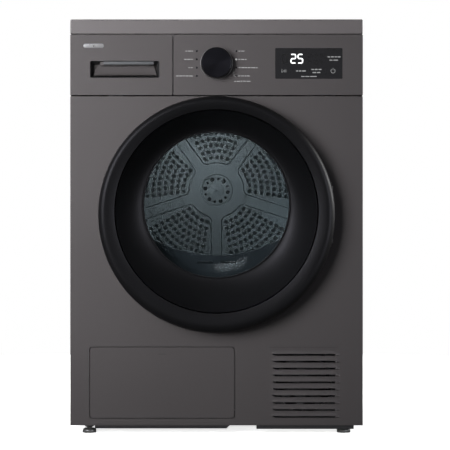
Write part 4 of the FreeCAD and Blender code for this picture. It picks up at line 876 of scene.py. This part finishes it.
addPiece("display_digits", merged(bright), "cabinet", "display_black", brightInk)
addPiece("display_marks", merged(soft), "cabinet", "display_black", softInk)
addPiece("display_ghosts", merged(ghosts), "cabinet", "display_black", dimInk)
print("display made")


# drawer front

drawerLow, drawerHigh = boxOf("drawer_front")
pull = {"x": drawerHigh[0] - 97.6 * mm, "z": knobZ + (53.9 - 66.3) * mm, "wide": 142 * mm,
        "tall": 34.7 * mm, "corner": 3 * mm}


def makePullLiner():
    # a black tray: its mouth is the pocket's edge and its floor is narrower, so that all four walls lean in;
    # rows of (inset, depth) in mm, down the inside and back up the outside
    d = pull
    walls = [(0.15, 0.6), (2.6, 9.0), (5.6, 17.5), (5.0, 20.3), (0.35, 20.3), (0.35, 0.8), (0.35, 0.3)]
    loops = []
    for inset, depth in walls:
        flat = roundedRect(d["x"], d["z"], d["wide"] - 2 * inset * mm, d["tall"] - 2 * inset * mm,
                           d["corner"] - min(inset, 2.0) * 0.5 * mm, 7)
        loops.append(np.stack([flat[:, 0], np.full(len(flat), face + depth * mm), flat[:, 1]], -1))
    loops = np.array(loops)
    return loops.reshape(-1, 3), wrapFaces(*loops.shape[:2])


ramp = {"insets": (7 * mm, 6 * mm, 15 * mm, 13 * mm), "foot": 5.6 * mm, "margin": 13 * mm, "near": 4.6,
        "lean": 11.5, "leanPower": 0.8, "edge": 1.1 * mm, "thick": 4.5 * mm, "rows": 24, "columns": 12}


def makePullRamp():
    # the inclined grey floor: a trapezoid, narrower at the top, leaning back as it rises:
    # y = face + near + lean v^0.8, with the middle one soft step behind the edges
    d = pull
    left, right = d["x"] - d["wide"] / 2, d["x"] + d["wide"] / 2
    low, high = d["z"] - d["tall"] / 2, d["z"] + d["tall"] / 2
    u = np.linspace(0, 1, ramp["rows"])[:, None]
    v = np.linspace(0, 1, ramp["columns"])[None, :]
    lowLeft, lowRight = left + ramp["insets"][0], right - ramp["insets"][1]
    topLeft, topRight = left + ramp["insets"][2], right - ramp["insets"][3]
    x = (lowLeft + (lowRight - lowLeft) * u) * (1 - v) + (topLeft + (topRight - topLeft) * u) * v
    z = low + ramp["foot"] + (high - low - ramp["margin"]) * v + 0 * u
    edge = np.minimum(np.minimum(u, 1 - u) * 10, 1) * np.minimum(np.minimum(v, 1 - v) * 5, 1)
    y = face + (ramp["near"] + ramp["lean"] * v ** ramp["leanPower"]) * mm + ramp["edge"] * edge
    front = np.stack([x, y, z], -1)
    back = front + np.array([0, ramp["thick"], 0])
    return stacked(np.concatenate([front, back[:, ::-1]], 1))


addPiece("pull_liner", makePullLiner(), "tank_drawer", "black_plastic")
addPiece("pull_ramp", makePullRamp(), "tank_drawer", "console_grey", sharp=50)
gripTop = pull["z"] + pull["tall"] / 2
grip = {"x": pull["x"] + 8 * mm, "z": gripTop - 3.9 * mm, "wide": 103 * mm, "tall": 7.4 * mm,
        "radius": 1.4 * mm, "front": face + 3.2 * mm, "back": face + 12.5 * mm, "edge": 1.0 * mm}
addPiece("pull_grip", plate(**grip), "tank_drawer", "dark_grey_plastic")

rim = {"width": 0.9 * mm, "grow": 1.2 * mm, "corner": 3.4 * mm, "front": face - 0.25 * mm, "thick": 0.35 * mm}
rimPath = roundedRect(pull["x"], pull["z"], pull["wide"] + rim["grow"], pull["tall"] + rim["grow"],
                      rim["corner"], 9)
rimPath = np.concatenate([rimPath, rimPath[:1]])
addPiece("pull_rim", ribbon(rimPath, rim["width"], rim["front"], rim["thick"]), "tank_drawer",
         "console_grey")

badge = {"x": drawerLow[0] + 48 * mm, "z": drawerLow[2] + 101 * mm, "wide": 42 * mm, "tall": 8.5 * mm,
         "radius": 8.5 * mm * 0.45, "front": face - 0.7 * mm, "back": face + 0.2 * mm, "edge": 0.35 * mm}
addPiece("drawer_badge", plate(**badge), "tank_drawer", "turned_steel", badgeInk)
print("drawer front made")


# vent, flap and floor-level trim

vent = {"x": 181 * mm, "low": 32.5 * mm, "pitch": 14.15 * mm, "slot": 4.2 * mm, "wide": 134 * mm,
        "hood": 7.2 * mm, "proud": 1.2 * mm, "count": 10, "nib": 9.5 * mm, "nibLap": 4.5 * mm,
        "taper": 9 * mm, "taperPower": 1.3, "taperTall": 0.86, "lap": 0.3 * mm, "fadePower": 1.6,
        "endShare": 0.14}


def pressedPatch(x, z, lift):
    # y = face - lift over the patch, closed by a flat back 0.4 mm behind the sheet's face
    front = np.stack([x, face - lift - 0.02 * mm, z], -1)
    back = np.stack([x, np.full_like(z, face + 0.4 * mm), z], -1)
    return stacked(np.concatenate([front, back[:, ::-1]], 1))


def slotNib(row):
    # the pressed end of a slot: lift = proud sin(pi u) sin(pi v) over a small oblong at its right end
    d = vent
    u = np.linspace(0, 1, 14)[:, None]
    v = np.linspace(0, 1, 8)[None, :]
    x = d["x"] + d["wide"] / 2 - d["nibLap"] + u * d["nib"] + 0 * v
    z = d["low"] + row * d["pitch"] - d["lap"] + v * (d["slot"] + 2 * d["lap"]) + 0 * u
    return pressedPatch(x, z, d["proud"] * np.sin(np.pi * u) * np.sin(np.pi * v) + 0.2 * mm)


def slotTaper(row):
    # the left end closes to a point: the patch's top edge falls as slot (1 - u)^1.3
    d = vent
    u = np.linspace(0, 1, 14)[:, None]
    v = np.linspace(0, 1, 5)[None, :]
    x = d["x"] - d["wide"] / 2 - 0.4 * mm + u * d["taper"] + 0 * v
    tall = d["lap"] + d["taperTall"] * d["slot"] * (1 - u) ** d["taperPower"]
    z = d["low"] + row * d["pitch"] - d["lap"] + v * tall
    return pressedPatch(x, z, 0.15 * mm + 0 * z)


def louvreHood(row):
    # the sheet above a slot bulges out: lift = proud (1 - v)^1.6 ends, where v runs up from the slot's edge
    # and ends is 1 along the slot and falls to 0 as a quarter circle at either end
    d = vent
    u = np.linspace(0, 1, 40)[:, None]
    v = np.linspace(0, 1, 9)[None, :]
    low = d["low"] + row * d["pitch"] + d["slot"]
    past = np.clip((np.abs(2 * u - 1) - (1 - d["endShare"])) / d["endShare"], 0, 1)
    ends = np.sqrt(np.clip(1 - past ** 2, 0, 1))
    z = low + v * d["hood"] * (0.35 + 0.65 * ends) - 0.2 * mm
    x = d["x"] + (u - 0.5) * d["wide"] * (1.0 + 0.02 * v)
    return pressedPatch(x, z, d["proud"] * (1 - v) ** d["fadePower"] * ends)


for name, shape in (("vent_hoods", louvreHood), ("vent_nibs", slotNib), ("vent_tapers", slotTaper)):
    addPiece(name, merged([shape(row) for row in range(vent["count"])]), "cabinet", "body_grey", sharp=60)
# the brow strip carries a painted shadow line along the crease above the slots
brow = {"left": 109 * mm, "right": 249.5 * mm, "z": 177.6 * mm, "width": 1.1 * mm, "front": face - 0.5 * mm,
        "thick": 0.7 * mm}
browPath = np.linspace((brow["left"], brow["z"]), (brow["right"], brow["z"]), 12)
addPiece("vent_brow", ribbon(browPath, brow["width"], brow["front"], brow["thick"]), "cabinet", "body_grey",
         creaseShadeFinish)

flapLow, flapHigh = boxOf("service_flap")
mark = {"x": (flapLow[0] + flapHigh[0]) / 2, "z": flapHigh[2] - 14 * mm, "half": 9 * mm, "width": 1.8 * mm}
markPath = [(mark["x"] - mark["half"], mark["z"]), (mark["x"] + mark["half"], mark["z"])]
addPiece("flap_mark", ribbon(markPath, mark["width"], face - 0.1 * mm), "flap", "pale_plastic",
         printedInk("flap_ink_finish", 0.03))
print("vent and flap trim made")


# inside the drum

drumLow, drumHigh = boxOf("drum_shell")
drumZ = (drumLow[2] + drumHigh[2]) / 2
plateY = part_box("drum_back")[1][1] - 2 * mm
holes = {"sectors": 5, "firstTurn": -54, "rows": 9, "firstRadius": 78, "rowPitch": 14.4, "firstCount": 5,
         "pitch": 13.3 * mm, "radius": 4.95 * mm, "rimWidth": 0.65 * mm, "rimRise": 0.75 * mm}


def holeRims():
    # a small pressed rim round every hole: r = hole + width cos b, y = plate - rise sin b
    d = holes
    around = circle(14)[:, None]
    section = np.linspace(0, np.pi, 4)[None, :]
    shapes = []
    for sector in range(d["sectors"]):
        for row in range(d["rows"]):
            radius = (d["firstRadius"] + row * d["rowPitch"]) * mm
            count = d["firstCount"] + row
            for index in range(count):
                angle = np.radians(d["firstTurn"] + 360 / d["sectors"] * sector)
                angle = angle + (index - (count - 1) / 2) * d["pitch"] / radius
                r = d["radius"] + d["rimWidth"] * np.cos(section)
                y = plateY + 0.1 * mm - d["rimRise"] * np.sin(section)
                x = radius * np.cos(angle) + r * np.cos(around)
                z = drumZ + radius * np.sin(angle) + r * np.sin(around)
                points = np.stack([x, y + 0 * x, z], -1).reshape(-1, 3)
                shapes.append((points, wrapFaces(14, 4)))
    return merged(shapes)


# the rims take the lighter drum-shell steel, not the back plate's grey: a painted highlight round each hole
addPiece("drum_hole_rims", holeRims(), "drum", "drum_back_grey", finishOf["drum_steel"], sharp=80)

mouthZ = (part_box("door_seal")[0][2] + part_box("door_seal")[1][2]) / 2
filterLow, filterHigh = boxOf("lint_filter")
housingLow = np.array(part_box("filter_housing")[0])
strips = {"x": 24 * mm, "drop": 26 * mm, "wide": 34 * mm, "tall": 5 * mm, "corner": 2.2 * mm,
          "edge": 0.9 * mm}


def sensorStrip(side):
    # two long shallow strips on the front of the filter bridge
    d = strips
    return plate(side * d["x"], filterHigh[2] - d["drop"], d["wide"], d["tall"], d["corner"],
                 housingLow[1] - 1.4 * mm, housingLow[1] + 1 * mm, d["edge"])


addPiece("moisture_strips", merged([sensorStrip(side) for side in (-1, 1)]), "cabinet", "turned_steel")

weave = {"pitch": 4 * mm, "width": 0.5 * mm, "thick": 0.25 * mm, "margin": 6 * mm}


def filterMesh():
    # crossed threads in the filter's windows, one pitch apart
    d = weave
    threads = []
    y = (filterLow[1] + filterHigh[1]) / 2 - 5.2 * mm
    low, high = filterLow[2] + 8 * mm, filterLow[2] + 69 * mm
    left, right = filterLow[0] + d["margin"], filterHigh[0] - d["margin"]
    for x in np.arange(filterLow[0] + 7 * mm, right, d["pitch"]):
        threads.append(ribbon([(x, low), (x, high)], d["width"], y, d["thick"]))
    for z in np.arange(low + 2 * mm, high, d["pitch"]):
        threads.append(ribbon([(left, z), (right, z)], d["width"], y, d["thick"]))
    return merged(threads)


addPiece("filter_mesh", filterMesh(), "filter", "pale_plastic")
drumLens = {"x": 110 * mm, "z": mouthZ + 160 * mm, "radius": 12 * mm, "soft": 1 * mm, "steps": 40}
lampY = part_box("front_bulkhead")[1][1] - 4 * mm
lensSection = [(0, 0), (drumLens["radius"], 0), (drumLens["radius"], 2 * mm), (9 * mm, 4.2 * mm), (0, 5 * mm)]
lensShape = softCorners([(r, y + lampY) for r, y in lensSection], drumLens["soft"], 4)
addPiece("drum_lamp_lens", turned(lensShape, drumLens["x"], drumLens["z"], drumLens["steps"]), "cabinet",
         "pale_plastic", litInk("drum_lamp_finish", 1.2))
print("drum details made")


# studio

def areaLight(name, place, aim, size, power, spread=180):
    lamp = bpy.data.lights.new(name, "AREA")
    lamp.shape, lamp.size, lamp.energy = "SQUARE", size, power
    lamp.spread = np.radians(spread)
    holder = placed(bpy.data.objects.new(name, lamp))
    holder.location = place
    holder.rotation_euler = (Vector(aim) - Vector(place)).to_track_quat("-Z", "Y").to_euler()


studio = {
    "floorRadius": 1.9,
    "floorSteps": 96,
    "world": 0.08,
    "lights": [
        ("key_light", (-1.5, -2.1, 1.15), (-0.55, -0.3, 0.86), 1.8, 38, 57),
        ("left_strip", (-1.7, -1.9, 1.30), (0, -0.3, 0.45), 1.0, 30),
        ("right_strip", (1.8, -1.8, 0.70), (0, -0.3, 0.45), 1.0, 14),
        ("right_light", (2.2, 0.7, 1.3), (0.3, 0.1, 0.45), 1.2, 44),
        ("rear_light", (-0.9, 2.3, 2.2), (0, 0.2, 0.5), 2.0, 62),
    ],
    "sheenOnly": ("left_strip", "right_strip"),
    "sheenColour": (0.88, 0.88, 1.0),
    "washOnly": ("key_light",),
    "drumLight": ((-0.03, -0.15, 0.61), 2.5, 0.04),
    "drumLit": ("drum_shell", "drum_back", "drum_lifters", "drum_hole_rims", "front_bulkhead",
                "drum_front_felt", "filter_housing", "lint_filter", "moisture_strips", "filter_mesh",
                "drum_lamp_lens", "door_glass", "door_window", "glass_bezel"),
}
for row in studio["lights"]:
    areaLight(*row)
# strips seen only in gloss streak the door ring and leave the panels alone
for name in studio["sheenOnly"]:
    bpy.data.objects[name].visible_diffuse = False
    bpy.data.lights[name].color = studio["sheenColour"]
# the key light works the other way round: it lights the panels and gives no gloss
for name in studio["washOnly"]:
    bpy.data.objects[name].visible_glossy = False
drumLight = bpy.data.lights.new("drum_light", "POINT")
drumPlace, drumLight.energy, drumLight.shadow_soft_size = studio["drumLight"]
drumHolder = placed(bpy.data.objects.new("drum_light", drumLight))
drumHolder.location = drumPlace
# the lamp reaches only the drum's pieces, so the air duct behind the holes stays dark
drumLit = bpy.data.collections.new("drum_lit")
for item in bpy.data.objects:
    if item.name.replace("_finish", "") in studio["drumLit"]:
        drumLit.objects.link(item)
drumHolder.light_linking.receiver_collection = drumLit

turns = circle(studio["floorSteps"])
edge = np.stack([np.cos(turns), np.sin(turns), 0 * turns], -1) * studio["floorRadius"]
floorMesh = bpy.data.meshes.new("studio_floor")
floorMesh.from_pydata(edge.tolist(), [], [list(range(studio["floorSteps"]))])
floorMesh.materials.append(paleFloor("studio_floor_finish"))
floor = placed(bpy.data.objects.new("studio_floor", floorMesh))
floor.visible_diffuse = False
floor.visible_glossy = False

world = bpy.data.worlds.new("studio_world")
world.use_nodes = True
nodes, links = world.node_tree.nodes, world.node_tree.links
seen = nodes.new("ShaderNodeLightPath")
strength = nodes.new("ShaderNodeMapRange")
strength.inputs["To Min"].default_value = studio["world"]
strength.inputs["To Max"].default_value = 1.0
links.new(seen.outputs["Is Camera Ray"], strength.inputs["Value"])
nodes["Background"].inputs["Color"].default_value = (1, 1, 1, 1)
links.new(strength.outputs["Result"], nodes["Background"].inputs["Strength"])
bpy.context.scene.world = world
bpy.context.scene.view_settings.view_transform = "Standard"

camera = {"place": (0, -3.738, 0.428), "lens": 135, "sensor": 36, "shift": 0.0188}
eye = bpy.data.cameras.new("front_camera")
eye.lens, eye.sensor_width, eye.shift_x = camera["lens"], camera["sensor"], camera["shift"]
eye.dof.use_dof = False
eyeHolder = placed(bpy.data.objects.new("front_camera", eye))
eyeHolder.location = camera["place"]
eyeHolder.rotation_euler = (np.pi / 2, 0, 0)
bpy.context.scene.camera = eyeHolder
print("studio set")
